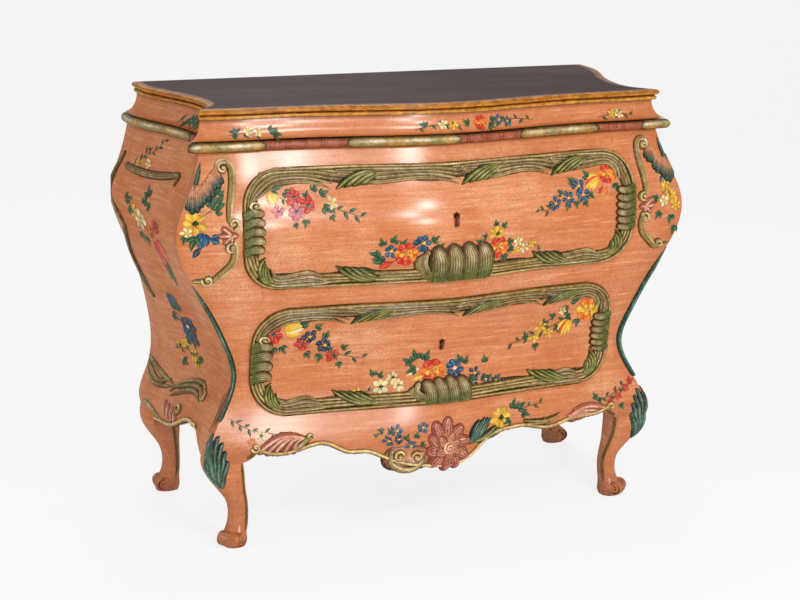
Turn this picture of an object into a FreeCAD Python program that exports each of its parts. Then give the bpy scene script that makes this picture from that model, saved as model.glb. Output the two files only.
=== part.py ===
"""Bombe chest of two drawers, as a parametric FreeCAD document.

Millimetres. +Z is up, the front faces -Y, and the origin is on the floor at the middle of the
whole chest. The swelling case is lofted through plan sections, one for each template level, and
the real pieces are cut from that form: posts, rails, side panels and drawer fronts.
"""
import FreeCAD, Part
import math
import os
import Sketcher

doc = FreeCAD.newDocument("bombe_chest")
V = FreeCAD.Vector

# ---------------------------------------------------------------- driving dimensions

SIZES = {
    # heights, from the floor up
    "knee_height": 215, "apron_rail_height": 53, "lower_drawer_height": 229,
    "mid_rail_height": 40, "upper_drawer_height": 239, "top_rail_height": 32,
    "torus_height": 20, "frieze_height": 40, "top_thick": 22,
    # plan of the case, at its waist
    "back_plane": 245, "case_depth": 422, "lower_drawer_half": 401, "stile": 31,
    "drawer_widening": 26, "rail_set_in": 16, "post_depth": 97, "rear_post_depth": 60,
    "post_tail": 28, "apron_end_in": 13, "side_edge_start": 33, "side_edge_end": 26,
    # thicknesses and clearances
    "front_thick": 22, "post_wall": 28, "rear_post_wall": 44, "side_thick": 24,
    "board_thick": 16, "back_thick": 12, "gap": 1.2, "slack": 0.3, "corner_radius": 75,
    "upper_front_forward": 18, "lower_well_spread": 60, "upper_well_spread": 90,
    "floor_drop": 10,
    # drawer boxes
    "box_inset": 27, "box_lift": 20, "box_side_thick": 14, "back_room": 28,
    "box_bottom_thick": 8, "box_bottom_lift": 10, "groove": 6, "runner_width": 30,
    "guide_width": 14, "guide_rise": 24, "kicker_width": 25, "kicker_gap": 1.5,
    "kicker_drop": 6, "drawer_back_drop": 6, "back_rail_height": 24,
    "back_rail_thick": 20, "glue_block": 25, "nail_half": 3, "nail_head": 1.5,
    # mouldings
    "torus_proud": 13, "cornice_width": 46, "cornice_pinch": 6, "top_past_back": 6,
    "frame_width": 36, "frame_relief": 9,
    "scroll_width": 13, "curl_radius": 10, "rib_radius": 7, "shell_width": 144,
    "shell_height": 76, "petal_radius": 24, "rosette_radius": 34, "rosette_drop": 38,
    "rosette_relief": 14,
    # locks
    "keyhole_radius": 5, "keyhole_drop": 16, "keyhole_slot": 6, "lock_width": 70,
    "lock_height": 96, "lock_thick": 12, "bolt_width": 22, "bolt_thick": 5,
    "bolt_travel": 8, "bolt_foot": 30, "bolt_below_rail": 2, "keyhole_above_case": 18,
    "keyhole_above_middle": 16,
    # legs
    "leg_set_in": 9, "leg_behind_front": 16, "rear_leg_set_in": 33, "rear_leg_from_back": 30,
    "ankle_radius": 19, "ankle_height": 75, "knee_radius": 44, "foot_radius": 26,
    "toe_radius": 17, "toe_width": 44, "toe_reach": 18, "rear_toe_reach": 22,
}

# How far each template level stands out beyond the waist: the front corner and the rear edge
# sideways, the middle of the front forwards. Then the bow of the front, the turn back at the
# corner, and the pinch of the side behind the corner.
LEVELS = ("skirt", "hem", "knee", "flare", "waist", "taper", "flank", "underbelly", "belly",
          "shoulder", "crown")
TEMPLATES = {
    "corner_swell": (36, 53, 58, 28, 0, 17, 57, 103, 120, 84, 66),
    "rear_swell": (58, 76, 92, 72, 64, 73, 93, 123, 145, 121, 106),
    "front_swell": (18, 26, 22, 8, 0, 8, 29, 52, 61, 36, 12),
    "bow": (24, 24, 26, 28, 28, 28, 32, 42, 47, 42, 42),
    "turn": (10, 10, 3, 3, 6, 5, 12, 15, 21, 15, 8),
    "pinch": (0, 0, 0, 0, 0, 2, 8, 22, 30, 24, 18),
}
for trait, amounts in TEMPLATES.items():
    for level, amount in zip(LEVELS, amounts):
        SIZES[f"{level}_{trait}"] = amount

# Heights and places that follow from the driving ones, as formulas in the same sheet.
DERIVED = {
    "lower_low": "knee_height + apron_rail_height",
    "lower_top": "lower_low + lower_drawer_height",
    "upper_low": "lower_top + mid_rail_height",
    "upper_top": "upper_low + upper_drawer_height",
    "crown_height": "upper_top + top_rail_height",
    "torus_top": "crown_height + torus_height",
    "frieze_top": "torus_top + frieze_height",
    "overall_height": "frieze_top + top_thick",
    "skirt_height": "knee_height * 0.47",
    "hem_height": "knee_height * 0.74",
    "flare_height": "lower_low + 0.06 * lower_drawer_height",
    "waist_height": "lower_low + 0.36 * lower_drawer_height",
    "taper_height": "lower_low + 0.66 * lower_drawer_height",
    "flank_height": "lower_top + 0.1 * mid_rail_height",
    "underbelly_height": "upper_low + 0.18 * upper_drawer_height",
    "belly_height": "upper_low + 0.535 * upper_drawer_height",
    "shoulder_height": "upper_low + 0.89 * upper_drawer_height",
    "waist_half": "lower_drawer_half + stile",
    "upper_drawer_half": "lower_drawer_half + drawer_widening",
    "rail_half": "lower_drawer_half - rail_set_in",
    "well_half": "waist_half - post_wall",
    "rear_well_half": "waist_half + waist_rear_swell - rear_post_wall",
    "well_depth": "case_depth - front_thick",
    "upper_inner_depth": "well_depth + upper_front_forward",
    "waist_front": "back_plane - case_depth + waist_bow",
    "post_back": "waist_front + post_depth",
    "rear_post_front": "back_plane - rear_post_depth",
    "panel_back": "back_plane - back_thick",
    "rail_front": "panel_back - back_rail_thick",
    "box_back": "panel_back - back_room",
    "dust_low": "lower_top + 0.28 * mid_rail_height",
    "dust_top": "dust_low + board_thick",
    "floor_top": "lower_low - floor_drop",
    "floor_low": "floor_top - board_thick",
    "upper_keyhole_height": "upper_top - 0.5 * upper_drawer_height + keyhole_above_middle",
    "lower_keyhole_height": "lower_top - 0.5 * lower_drawer_height + keyhole_above_middle",
    "leg_x": "waist_half - leg_set_in",
    "leg_y": "waist_front + leg_behind_front",
    "rear_leg_x": "waist_half + waist_rear_swell - rear_leg_set_in",
    "rear_leg_y": "back_plane - rear_leg_from_back",
}

sheet = doc.addObject("Spreadsheet::Sheet", "sizes")
ROWS = {alias: str(amount) for alias, amount in SIZES.items()}
ROWS.update({alias: "=" + formula for alias, formula in DERIVED.items()})
for line, (alias, content) in enumerate(ROWS.items(), start=1):
    sheet.set(f"A{line}", alias)
    sheet.set(f"B{line}", content)
    sheet.setAlias(f"B{line}", alias)
doc.recompute()


class Dim:
    """A length that keeps the sheet formula it came from beside its number."""

    def __init__(self, number, formula=None):
        self.number = float(number)
        self.formula = formula or f"({self.number:.6g})"

    def _join(self, other, sign, number):
        return Dim(number, f"({self.formula} {sign} {other.formula})")

    def __add__(self, other):
        other = as_dim(other)
        return self._join(other, "+", self.number + other.number)

    def __sub__(self, other):
        other = as_dim(other)
        return self._join(other, "-", self.number - other.number)

    def __mul__(self, other):
        other = as_dim(other)
        return self._join(other, "*", self.number * other.number)

    def __neg__(self):
        return Dim(-self.number, f"(-1 * {self.formula})")

    __radd__ = __add__
    __rmul__ = __mul__


def as_dim(value):
    return value if isinstance(value, Dim) else Dim(value)


class Sizes:
    """Reads a cell of the sheet by its alias."""

    def __getattr__(self, alias):
        return Dim(sheet.get(alias), f"sizes.{alias}")


s = Sizes()
# Cutting tools run past the faces that they cut: far outside the chest, or just through a face.
FAR = 700
OVERCUT = 5
nodes = {}


# ---------------------------------------------------------------- helpers

def bind(obj, **dims):
    for prop, dim in dims.items():
        obj.setExpression(prop.replace("_at_", ".Base."), as_dim(dim).formula)


def add(kind, name):
    return doc.addObject(kind, name)


def box(name, x, y, z):
    """A block between two places on each axis."""
    (x0, x1), (y0, y1), (z0, z1) = [[as_dim(end) for end in span] for span in (x, y, z)]
    obj = add("Part::Box", name)
    bind(obj, Length=x1 - x0, Width=y1 - y0, Height=z1 - z0)
    bind(obj, Placement_at_x=x0, Placement_at_y=y0, Placement_at_z=z0)
    return obj


def common(name, *shapes):
    obj = add("Part::MultiCommon", name)
    obj.Shapes = list(shapes)
    return obj


def fuse(name, *shapes):
    obj = add("Part::MultiFuse", name)
    obj.Shapes = list(shapes)
    return obj


def cut(name, base, *tools):
    """Takes the tools away from the base, one after another."""
    for number, tool in enumerate(tools, start=1):
        last = number == len(tools)
        obj = add("Part::Cut", name if last else f"{name}_less_{number}")
        obj.Base = base
        obj.Tool = tool
        base = obj
    return base


def mirror(name, source):
    obj = add("Part::Mirroring", name)
    obj.Source = source
    obj.Normal = V(1, 0, 0)
    return obj


def node(name, obj):
    """Marks a finished piece: its Label names its file."""
    obj.Label = name
    nodes[name] = obj
    return obj


def both_sides(name, right):
    """A right-hand carving and its mirror image, as separate solids of one node."""
    return node(name, fuse(name, right, mirror(name + "_mirrored", right)))


def pair(name, right):
    """A right-hand piece and its mirror image."""
    node(name + "_right", right)
    node(name + "_left", mirror(name + "_left", right))


def spline(places):
    curve = Part.BSplineCurve()
    curve.interpolate(Points=places)
    return curve


def pins(geometry, end, across, along):
    """Ties for one end of a curve, measured from the sketch's origin."""
    return [(Sketcher.Constraint(kind, geometry, end, as_dim(dim).number), as_dim(dim).formula)
            for kind, dim in (("DistanceX", across), ("DistanceY", along))]


def constrain(sketch, ties):
    """Adds constraints to a sketch, and binds those that have a formula to the sheet."""
    rows = sketch.addConstraint([tie for tie, _ in ties])
    for row, (_, formula) in zip(rows, ties):
        if formula:
            sketch.setExpression(f"Constraints[{row}]", formula)


def extrude(name, source, direction, length):
    obj = add("Part::Extrusion", name)
    obj.Base = source
    obj.DirMode = "Custom"
    obj.Dir = direction
    obj.Solid = True
    bind(obj, LengthFwd=length)
    return obj


FRONT_VIEW = FreeCAD.Rotation(V(1, 0, 0), 90)
SIDE_VIEW = FreeCAD.Rotation(V(1, 1, 1), 120)


def closed_sketch(name, curves, view=None):
    """A closed outline. Each curve is (points, is_spline) and starts where the last one ends."""
    sketch = add("Sketcher::SketchObject", name)
    shapes, starts = [], []
    for points, curved in curves:
        for piece in [points] if curved else zip(points, points[1:]):
            places = [V(as_dim(a).number, as_dim(b).number, 0) for a, b in piece]
            shapes.append(spline(places) if curved else Part.LineSegment(*places))
            starts.append(piece[0])
    rows = sketch.addGeometry(shapes, False)
    ties = []
    for place, (row, start) in enumerate(zip(rows, starts)):
        ties += pins(row, 1, *start)
        following = rows[(place + 1) % len(rows)]
        ties.append((Sketcher.Constraint("Coincident", row, 2, following, 1), None))
    constrain(sketch, ties)
    if view:
        sketch.Placement = FreeCAD.Placement(V(0, 0, 0), view)
    return sketch


def through_y(name, sketch, front=-FAR, back=0):
    """A front-view outline carried straight through the chest."""
    bind(sketch, Placement_at_y=front)
    return extrude(name, sketch, V(0, 1, 0), as_dim(back) - front)


def through_x(name, sketch, low, high=FAR):
    bind(sketch, Placement_at_x=low)
    return extrude(name, sketch, V(1, 0, 0), as_dim(high) - low)


def rounded_outline(name, half, low, high, radius):
    """A cartouche outline in the front view: a rectangle with quarter-round corners."""
    sketch = add("Sketcher::SketchObject", name)
    sketch.Placement = FreeCAD.Placement(V(0, 0, 0), FRONT_VIEW)
    corners, ties = [], []
    for sx, sz, start, end in ((1, -1, 270, 360), (1, 1, 0, 90), (-1, 1, 90, 180),
                               (-1, -1, 180, 270)):
        centre_x = (half - radius) * sx
        centre_z = (high - radius) if sz > 0 else (low + radius)
        circle = Part.Circle(V(centre_x.number, centre_z.number, 0), V(0, 0, 1), radius.number)
        arc = Part.ArcOfCircle(circle, math.radians(start), math.radians(end))
        row = sketch.addGeometry(arc, False)
        edge_x = (half * sx, centre_z)
        edge_z = (centre_x, high if sz > 0 else low)
        first, last = (edge_z, edge_x) if sx * sz < 0 else (edge_x, edge_z)
        corners.append((first, last))
        ties += pins(row, 1, *first) + pins(row, 2, *last)
        ties.append((Sketcher.Constraint("Radius", row, radius.number), radius.formula))
    for row, (_, end) in enumerate(corners):
        following = (row + 1) % len(corners)
        places = [V(a.number, b.number, 0) for a, b in (end, corners[following][0])]
        line = sketch.addGeometry(Part.LineSegment(*places), False)
        ties.append((Sketcher.Constraint("Coincident", row, 2, line, 1), None))
        ties.append((Sketcher.Constraint("Coincident", line, 2, following, 1), None))
    constrain(sketch, ties)
    return sketch


def loft(name, sections, ruled=False):
    obj = add("Part::Loft", name)
    obj.Sections = sections
    obj.Solid = True
    obj.Ruled = ruled
    return obj


# ---------------------------------------------------------------- plan sections and forms

# Corners of a plan outline. On the front: the share of the half width, and of the bow. On a
# side: the share of the run back from the corner, and of the way out to the rear edge.
FRONT_PLAN = ((0.84, 1), (0.67, 0.98), (0.5, 0.81), (0.33, 0.48), (0.17, 0.14), (0, 0))
SIDE_PLAN = ((0.19, 0), (0.36, 0.08), (0.52, 0.3), (0.68, 0.66), (0.84, 0.94), (1, 1))
HOLLOW_SIDE_PLAN = ((0.19, 0), (0.45, 0.18), (0.76, 0.82), (1, 1))


def plan_section(name, half, rear, depth, bow, turn, pinch, back, height,
                 front_plan=FRONT_PLAN, side_plan=SIDE_PLAN):
    """One plan outline: a bowed front, hollow sides and a straight back, at a height."""
    half, rear, depth, bow, turn, pinch, back = [
        as_dim(value) for value in (half, rear, depth, bow, turn, pinch, back)]
    front_line, run, waist = back - depth, depth - bow - turn, half - pinch
    side = [(waist + (rear - waist) * out, back - run * (1 - along))
            for along, out in side_plan]
    front = [(half * across, front_line + bow * along) for across, along in front_plan]
    right = side[::-1] + [(half, front_line + bow + turn)] + front
    left = [(-x, y) for x, y in right[-2::-1]]
    sketch = closed_sketch(name, ((right + left + right[:1], False),))
    bind(sketch, Placement_at_z=height)
    return sketch


def bombe_form(name, inset, back, *plans, ruled=False):
    """The swelling case, set in by a wall thickness, through all its template levels."""
    sections = []
    for level in LEVELS:
        corner, rear, front, bow, turn, pinch = [
            getattr(s, f"{level}_{trait}") for trait in TEMPLATES]
        sections.append(plan_section(
            f"{name}_{level}", s.waist_half + corner - inset, s.waist_half + rear - inset,
            s.case_depth + front - inset + (back - s.back_plane), bow, turn, pinch, back,
            getattr(s, f"{level}_height"), *plans))
    return loft(name, sections, ruled)


form = bombe_form("form", as_dim(0), s.back_plane)
hollow_form = bombe_form("hollow_form", s.side_thick, s.back_plane + OVERCUT, ((0, 1),),
                         HOLLOW_SIDE_PLAN, ruled=True)
relief_form = bombe_form("relief_form", -s.frame_relief, s.back_plane)


def well(name, half, rear, depth, low, high):
    """A straight-sided well whose front follows the bow of the case at its waist."""
    sketch = plan_section(f"{name}_plan", half, rear, depth + OVERCUT, s.waist_bow,
                          s.waist_turn, 0, s.back_plane + OVERCUT, low - OVERCUT)
    return extrude(name, sketch, V(0, 0, 1), high - low + 2 * OVERCUT)


lower_well_half = s.waist_half + s.lower_well_spread
upper_well_half = s.waist_half + s.upper_well_spread
case_well = well("case_well", s.well_half, s.rear_well_half, s.well_depth, as_dim(0),
                 s.crown_height)
lower_well = well("lower_well", lower_well_half, lower_well_half, s.well_depth, s.lower_low,
                  s.lower_top)
upper_well = well("upper_well", upper_well_half, upper_well_half, s.upper_inner_depth,
                  s.upper_low, s.upper_top)


# ---------------------------------------------------------------- openings and lower edges

def drawer_prism(name, half, low, high, clearance):
    outline = rounded_outline(f"{name}_outline", half + clearance, low - clearance,
                              high + clearance, s.corner_radius + clearance)
    return through_y(name, outline)


upper_opening = drawer_prism("upper_opening", s.upper_drawer_half, s.upper_low, s.upper_top,
                             as_dim(0))
lower_opening = drawer_prism("lower_opening", s.lower_drawer_half, s.lower_low, s.lower_top,
                             as_dim(0))
upper_blank = drawer_prism("upper_blank", s.upper_drawer_half, s.upper_low, s.upper_top,
                           -s.gap)
lower_blank = drawer_prism("lower_blank", s.lower_drawer_half, s.lower_low, s.lower_top,
                           -s.gap)

# Lower edge of the front, left to right: the share of the lower drawer's half width, and how
# far the edge hangs below the knee height.
APRON_EDGE = ((-0.998, 4), (-0.96, 12), (-0.776, 18), (-0.611, 11), (-0.511, 30), (-0.411, 33),
              (-0.312, 50), (-0.2, 67), (-0.075, 76), (0.05, 79), (0.15, 65), (0.25, 32),
              (0.374, 19), (0.489, 19), (0.623, 30), (0.748, 20), (0.96, 10), (0.998, 4))
# Lower edge of a side, front to back: the share of the way between the legs, and the drop.
SIDE_EDGE = ((0.035, -8), (0.12, -22), (0.29, -14), (0.44, 4), (0.6, 22), (0.74, 26),
             (0.85, 30), (0.92, 42))


def edge_prism_sketch(name, first, places, last, view):
    """The space below a wavy edge, closed far below the floor."""
    points = [first] + [(across, s.knee_height - drop) for across, drop in places] + [last]
    below = (last, (last[0], -FAR), (first[0], -FAR), first)
    return closed_sketch(name, ((points, True), (below, False)), view)


# Where an edge runs into a leg, as a share of the knee height.
EDGE_END, REAR_EDGE_END = 0.77, 0.65
apron_end, apron_end_height = s.leg_x - s.apron_end_in, s.knee_height * EDGE_END
apron_sketch = edge_prism_sketch(
    "apron_edge", (-apron_end, apron_end_height),
    [(s.lower_drawer_half * share, drop) for share, drop in APRON_EDGE],
    (apron_end, apron_end_height), FRONT_VIEW)
apron_cut = through_y("apron_cut", apron_sketch, -FAR, s.post_back + OVERCUT)
side_start, side_end = s.leg_y + s.side_edge_start, s.rear_leg_y - s.side_edge_end
side_sketch = edge_prism_sketch(
    "side_edge", (side_start, s.knee_height * EDGE_END),
    [(side_start + (side_end - side_start) * share, drop) for share, drop in SIDE_EDGE],
    (side_end, s.knee_height * REAR_EDGE_END), SIDE_VIEW)
side_cut = through_x("side_cut", side_sketch, s.rail_half)


# ---------------------------------------------------------------- posts and legs

# Leg sections from the knee down: height, how far the centre stands out and forward of the
# ankle, and the radius.
LEG_SECTIONS = (
    (s.knee_height + 25, 27, 3, s.knee_radius * 0.84),
    (s.knee_height - 15, 30, 6, s.knee_radius * 1.04),
    (s.knee_height * 0.77, 27, 8, s.knee_radius * 0.92),
    (s.knee_height * 0.63, 14, 6, s.knee_radius * 0.66),
    (s.ankle_height * 1.4, 3, 2, s.ankle_radius * 1.12),
    (s.ankle_height, 0, 0, s.ankle_radius),
    (s.ankle_height * 0.6, 2, 2, s.ankle_radius * 1.06),
    (s.ankle_height * 0.27, 8, 6, s.foot_radius),
    (as_dim(0), 10, 8, s.foot_radius * 0.92),
)
LEG_SIDES = 12


def leg(name, centre_x, centre_y, turn, forward, reach):
    """A cabriole leg, shaved to flats all round, with a scroll under its toe."""
    rings = []
    for number, (height, out, ahead, radius) in enumerate(LEG_SECTIONS):
        ring = add("Part::RegularPolygon", f"{name}_ring_{number}")
        ring.Polygon = LEG_SIDES
        bind(ring, Circumradius=radius)
        bind(ring, Placement_at_x=centre_x + out, Placement_at_y=centre_y - ahead * forward,
             Placement_at_z=height)
        rings.append(ring)
    shank = loft(name + "_shank", rings, ruled=True)
    toe = add("Part::Cylinder", name + "_toe")
    across = V(0, 0, 1)
    toe.Placement = FreeCAD.Placement(
        V(0, 0, 0), FreeCAD.Rotation(V(0, 0, 1), turn).multiply(FreeCAD.Rotation(V(1, 0, 0), 90)))
    side = toe.Placement.Rotation.multVec(across)
    bind(toe, Radius=s.toe_radius, Height=s.toe_width)
    bind(toe, Placement_at_x=centre_x + reach - s.toe_width * (side.x / 2),
         Placement_at_y=centre_y - reach * forward - s.toe_width * (side.y / 2),
         Placement_at_z=s.toe_radius)
    return fuse(name, shank, toe)


front_leg = leg("front_leg", s.leg_x, s.leg_y, -45, 0.8, s.toe_reach)
rear_leg = leg("rear_leg", s.rear_leg_x, s.rear_leg_y, 0, 0.0, s.rear_toe_reach)

post_span = (s.knee_height - s.post_tail, s.crown_height)
post_block = box("post_block", (s.rail_half, FAR), (-FAR, s.post_back), post_span)
front_post = cut("front_post_blank", common("post_form", form, post_block), case_well,
                 upper_opening, lower_opening, apron_cut, side_cut)
pair("front_post", fuse("front_post_right", front_post, front_leg))

rear_block = box("rear_post_block", (s.rear_well_half, FAR),
                 (s.rear_post_front, s.back_plane + OVERCUT), post_span)
rear_post = cut("rear_post_blank", common("rear_post_form", form, rear_block), side_cut)
before_back = box("before_back", (0, FAR), (0, s.back_plane), (0, s.crown_height))
pair("rear_post", common("rear_post_right", fuse("rear_post_leg", rear_post, rear_leg),
                         before_back))

# ---------------------------------------------------------------- rails and side panels

RAIL_SPANS = {
    "top_rail": (s.upper_top - s.corner_radius, s.crown_height),
    "mid_rail": (s.lower_top - s.corner_radius, s.upper_low + s.corner_radius),
    "apron_rail": (s.skirt_height, s.lower_low + s.corner_radius),
}
MORTISE_CLEARANCE = 1


def bolt_channel(name, depth, low, high, slack):
    """The straight way that a lock bolt slides in."""
    middle = s.back_plane - depth - s.lock_thick * 0.5
    return box(name, (s.bolt_width * -0.5 - slack, s.bolt_width * 0.5 + slack),
               (middle - s.bolt_thick * 0.5 - slack, middle + s.bolt_thick * 0.5 + slack),
               (low, high))


def lock_low(keyhole_height):
    return keyhole_height - s.keyhole_above_case


def mortise(name, depth, opening_top):
    """The slot in a rail that takes the thrown bolt of the drawer below it."""
    return bolt_channel(name, depth, opening_top - OVERCUT,
                        opening_top + s.bolt_travel + OVERCUT, as_dim(MORTISE_CLEARANCE))


upper_mortise = mortise("upper_mortise", s.upper_inner_depth, s.upper_top)
lower_mortise = mortise("lower_mortise", s.well_depth, s.lower_top)
RAIL_CUTS = {
    "top_rail": (case_well, upper_opening, upper_mortise),
    "mid_rail": (case_well, upper_opening, lower_opening, lower_mortise),
    "apron_rail": (case_well, lower_opening, apron_cut),
}
rails = {}
for name, (low, high) in RAIL_SPANS.items():
    block = box(f"{name}_block", (-s.rail_half, s.rail_half), (-FAR, s.post_back), (low, high))
    blank = common(f"{name}_blank", form, block)
    rails[name] = node(name, cut(name, blank, *RAIL_CUTS[name]))

side_block = box("side_block", (s.rail_half, FAR), (s.post_back, s.rear_post_front),
                 (s.hem_height, s.crown_height))
side_panel = cut("side_panel_right", common("side_blank", form, side_block), hollow_form,
                 side_cut, rear_leg)
pair("side_panel", side_panel)

# ---------------------------------------------------------------- cornice and top

def crown_section(name, side_out, front_out, back, height):
    return plan_section(
        name, s.waist_half + s.crown_corner_swell + side_out,
        s.waist_half + s.crown_rear_swell + side_out,
        s.case_depth + s.crown_front_swell + front_out + (back - s.back_plane),
        s.crown_bow, s.crown_turn, s.crown_pinch + s.cornice_pinch, back, height)


def moulded_form(name, profile, back):
    """A solid whose edge follows a moulding profile all round the plan of the crown."""
    return loft(name, [crown_section(f"{name}_{number}", side_out, front_out, back, height)
                       for number, (side_out, front_out, height) in enumerate(profile)],
                ruled=True)


ROUND_STEPS = 6
TORUS_SET_IN, FRIEZE_FLARE, FRIEZE_FOOT = 9, 26, 5
# The hollow flares less in front, and starts above a small upright lip.
FRONT_FLARE_SHARE, FRIEZE_LIP = 0.65, 0.08


def torus_step(step):
    """A point of the half-round: how far it stands out, and its share of the height."""
    angle = math.radians(180 * step / ROUND_STEPS - 90)
    out = s.torus_proud - TORUS_SET_IN * (1 - math.cos(angle))
    return out, out, s.crown_height + s.torus_height * (0.5 + 0.5 * math.sin(angle))


def frieze_step(step):
    """A point of the hollow: a quarter round that starts flat and ends upright."""
    angle = math.radians(90 * step / ROUND_STEPS)
    out = FRIEZE_FOOT - FRIEZE_FLARE * math.sin(angle)
    front = FRIEZE_FOOT - FRIEZE_FLARE * FRONT_FLARE_SHARE * math.sin(angle)
    share = FRIEZE_LIP + (1 - FRIEZE_LIP) * (1 - math.cos(angle))
    return as_dim(out), as_dim(front), s.torus_top + s.frieze_height * share


torus_profile = [torus_step(step) for step in range(ROUND_STEPS + 1)]
frieze_profile = [(as_dim(FRIEZE_FOOT), as_dim(FRIEZE_FOOT), s.torus_top)]
frieze_profile += [frieze_step(step) for step in range(ROUND_STEPS + 1)]
# The edge of the top is two beads, the upper one fuller: how far it stands out at the sides and
# in front of the crown, and the share of its thickness.
TOP_EDGE = ((-22, -6, 0), (-17, -1, 0.1), (-16, 0, 0.25), (-18, -2, 0.4), (-19, -3, 0.45),
            (-13, 3, 0.58), (-12, 4, 0.75), (-13.5, 2.5, 0.92), (-17, -1, 1))
top_profile = [(as_dim(out), as_dim(front), s.frieze_top + s.top_thick * share)
               for out, front, share in TOP_EDGE]
torus_form = moulded_form("torus_form", torus_profile, s.back_plane)
frieze_form = moulded_form("frieze_form", frieze_profile, s.back_plane)
node("top_board", moulded_form("top_board", top_profile, s.back_plane + s.top_past_back))

cornice_plan = crown_section("cornice_well_plan", -s.cornice_width, -s.cornice_width,
                             s.back_plane + OVERCUT, s.crown_height - OVERCUT)
cornice_well = extrude("cornice_well", cornice_plan, V(0, 0, 1),
                       s.torus_height + s.frieze_height + 2 * OVERCUT)
torus_ring = cut("torus_ring", torus_form, cornice_well)
frieze_ring = cut("frieze_ring", frieze_form, cornice_well)

# The cornice meets in mitres at the front corners.
MITRE_OUT, MITRE_IN = 110, 160
corner_x = s.waist_half + s.crown_corner_swell
corner_y = s.back_plane - s.case_depth - s.crown_front_swell + s.crown_bow + s.crown_turn
mitre_out = (corner_x + MITRE_OUT, corner_y - MITRE_OUT)
mitre_in = (corner_x - MITRE_IN, corner_y + MITRE_IN)
mitre_sketch = closed_sketch("mitre", (
    (((-mitre_out[0], mitre_out[1]), mitre_out, mitre_in, (-mitre_in[0], mitre_in[1]),
      (-mitre_out[0], mitre_out[1])), False),))
mitre_wedge = extrude("mitre_wedge", mitre_sketch, V(0, 0, 1), FAR * 2)
right_half = box("right_half", (0, FAR), (-FAR, FAR), (0, FAR * 2))
for name, ring in (("torus", torus_ring), ("frieze", frieze_ring)):
    node(f"{name}_front", common(f"{name}_front", ring, mitre_wedge))
    half = common(f"{name}_half", ring, right_half)
    pair(name, cut(f"{name}_right", half, mitre_wedge))

crown_half = s.waist_half + s.crown_rear_swell - s.cornice_width
crown_block = box("crown_block", (-crown_half, crown_half),
                  (s.back_plane - s.back_rail_thick, s.back_plane),
                  (s.crown_height, s.frieze_top))
node("crown_rail", cut("crown_rail", crown_block, torus_ring, frieze_ring))

# ---------------------------------------------------------------- inside of the case

well_front = s.back_plane - s.well_depth
inner_x = (-s.rear_well_half, s.rear_well_half)
node("back_panel", box("back_panel", inner_x, (s.panel_back, s.back_plane),
                       (s.knee_height, s.crown_height)))
for name, top in (("back_rail_top", s.crown_height), ("back_rail_mid", s.dust_low),
                  ("back_rail_bottom", s.floor_low)):
    rail = box(f"{name}_strip", inner_x, (s.rail_front, s.panel_back),
               (top - s.back_rail_height, top))
    node(name, cut(name, rail, nodes["rear_post_right"], nodes["rear_post_left"]))


def shelf(name, low, rail):
    """A board let in between the case walls, notched round the posts."""
    block = box(f"{name}_block", (-FAR, FAR), (well_front, s.panel_back),
                (low, low + s.board_thick))
    return node(name, cut(name, common(f"{name}_blank", hollow_form, block), rail,
                          front_post, nodes["front_post_left"], rear_post,
                          nodes["rear_post_left"]))


dust_board = shelf("dust_board", s.dust_low, rails["mid_rail"])
bottom_board = shelf("bottom_board", s.floor_low, rails["apron_rail"])


def runner(name, bed, seat, half, face):
    """A strip that carries a drawer side, with a guide along its outer edge."""
    inner = half - s.runner_width * 0.5 - s.guide_width * 0.5
    outer = half + s.slack + s.guide_width
    start = face + s.gap
    strip = box(f"{name}_strip", (inner, outer), (start, s.rail_front), (bed, seat - s.slack))
    guide = box(f"{name}_guide", (half + s.slack, outer), (start, s.rail_front),
                (bed, seat + s.guide_rise))
    rail = rails["mid_rail" if name.startswith("upper") else "apron_rail"]
    pair(name, cut(f"{name}_right", fuse(f"{name}_whole", strip, guide), rail, front_post))


def kicker(name, seat, top, half, face):
    """A strip above a drawer side that stops the open drawer from tipping."""
    rail = rails["top_rail" if name.startswith("upper") else "mid_rail"]
    strip = box(f"{name}_strip", (half - s.kicker_width, half), (face, s.rail_front),
                (seat + s.kicker_gap, top))
    pair(name, cut(f"{name}_right", strip, rail, front_post))


DRAWERS = {
    "upper": (s.upper_drawer_half, s.upper_low, s.upper_top, s.upper_inner_depth, upper_well,
              upper_blank, s.upper_keyhole_height, s.dust_top, s.crown_height - s.kicker_drop),
    "lower": (s.lower_drawer_half, s.lower_low, s.lower_top, s.well_depth, lower_well,
              lower_blank, s.lower_keyhole_height, s.floor_top, s.dust_low),
}


def keyhole(name, height, depth):
    """A round hole with a slot below it, through to the lock case."""
    hole = add("Part::Cylinder", f"{name}_round")
    hole.Placement = FreeCAD.Placement(V(0, 0, 0), FRONT_VIEW)
    bind(hole, Radius=s.keyhole_radius, Height=FAR)
    bind(hole, Placement_at_y=s.back_plane - depth - s.lock_thick, Placement_at_z=height)
    slot = box(f"{name}_slot", (s.keyhole_slot * -0.5, s.keyhole_slot * 0.5),
               (-FAR, s.back_plane - depth - s.lock_thick), (height - s.keyhole_drop, height))
    return fuse(name, hole, slot)


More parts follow.
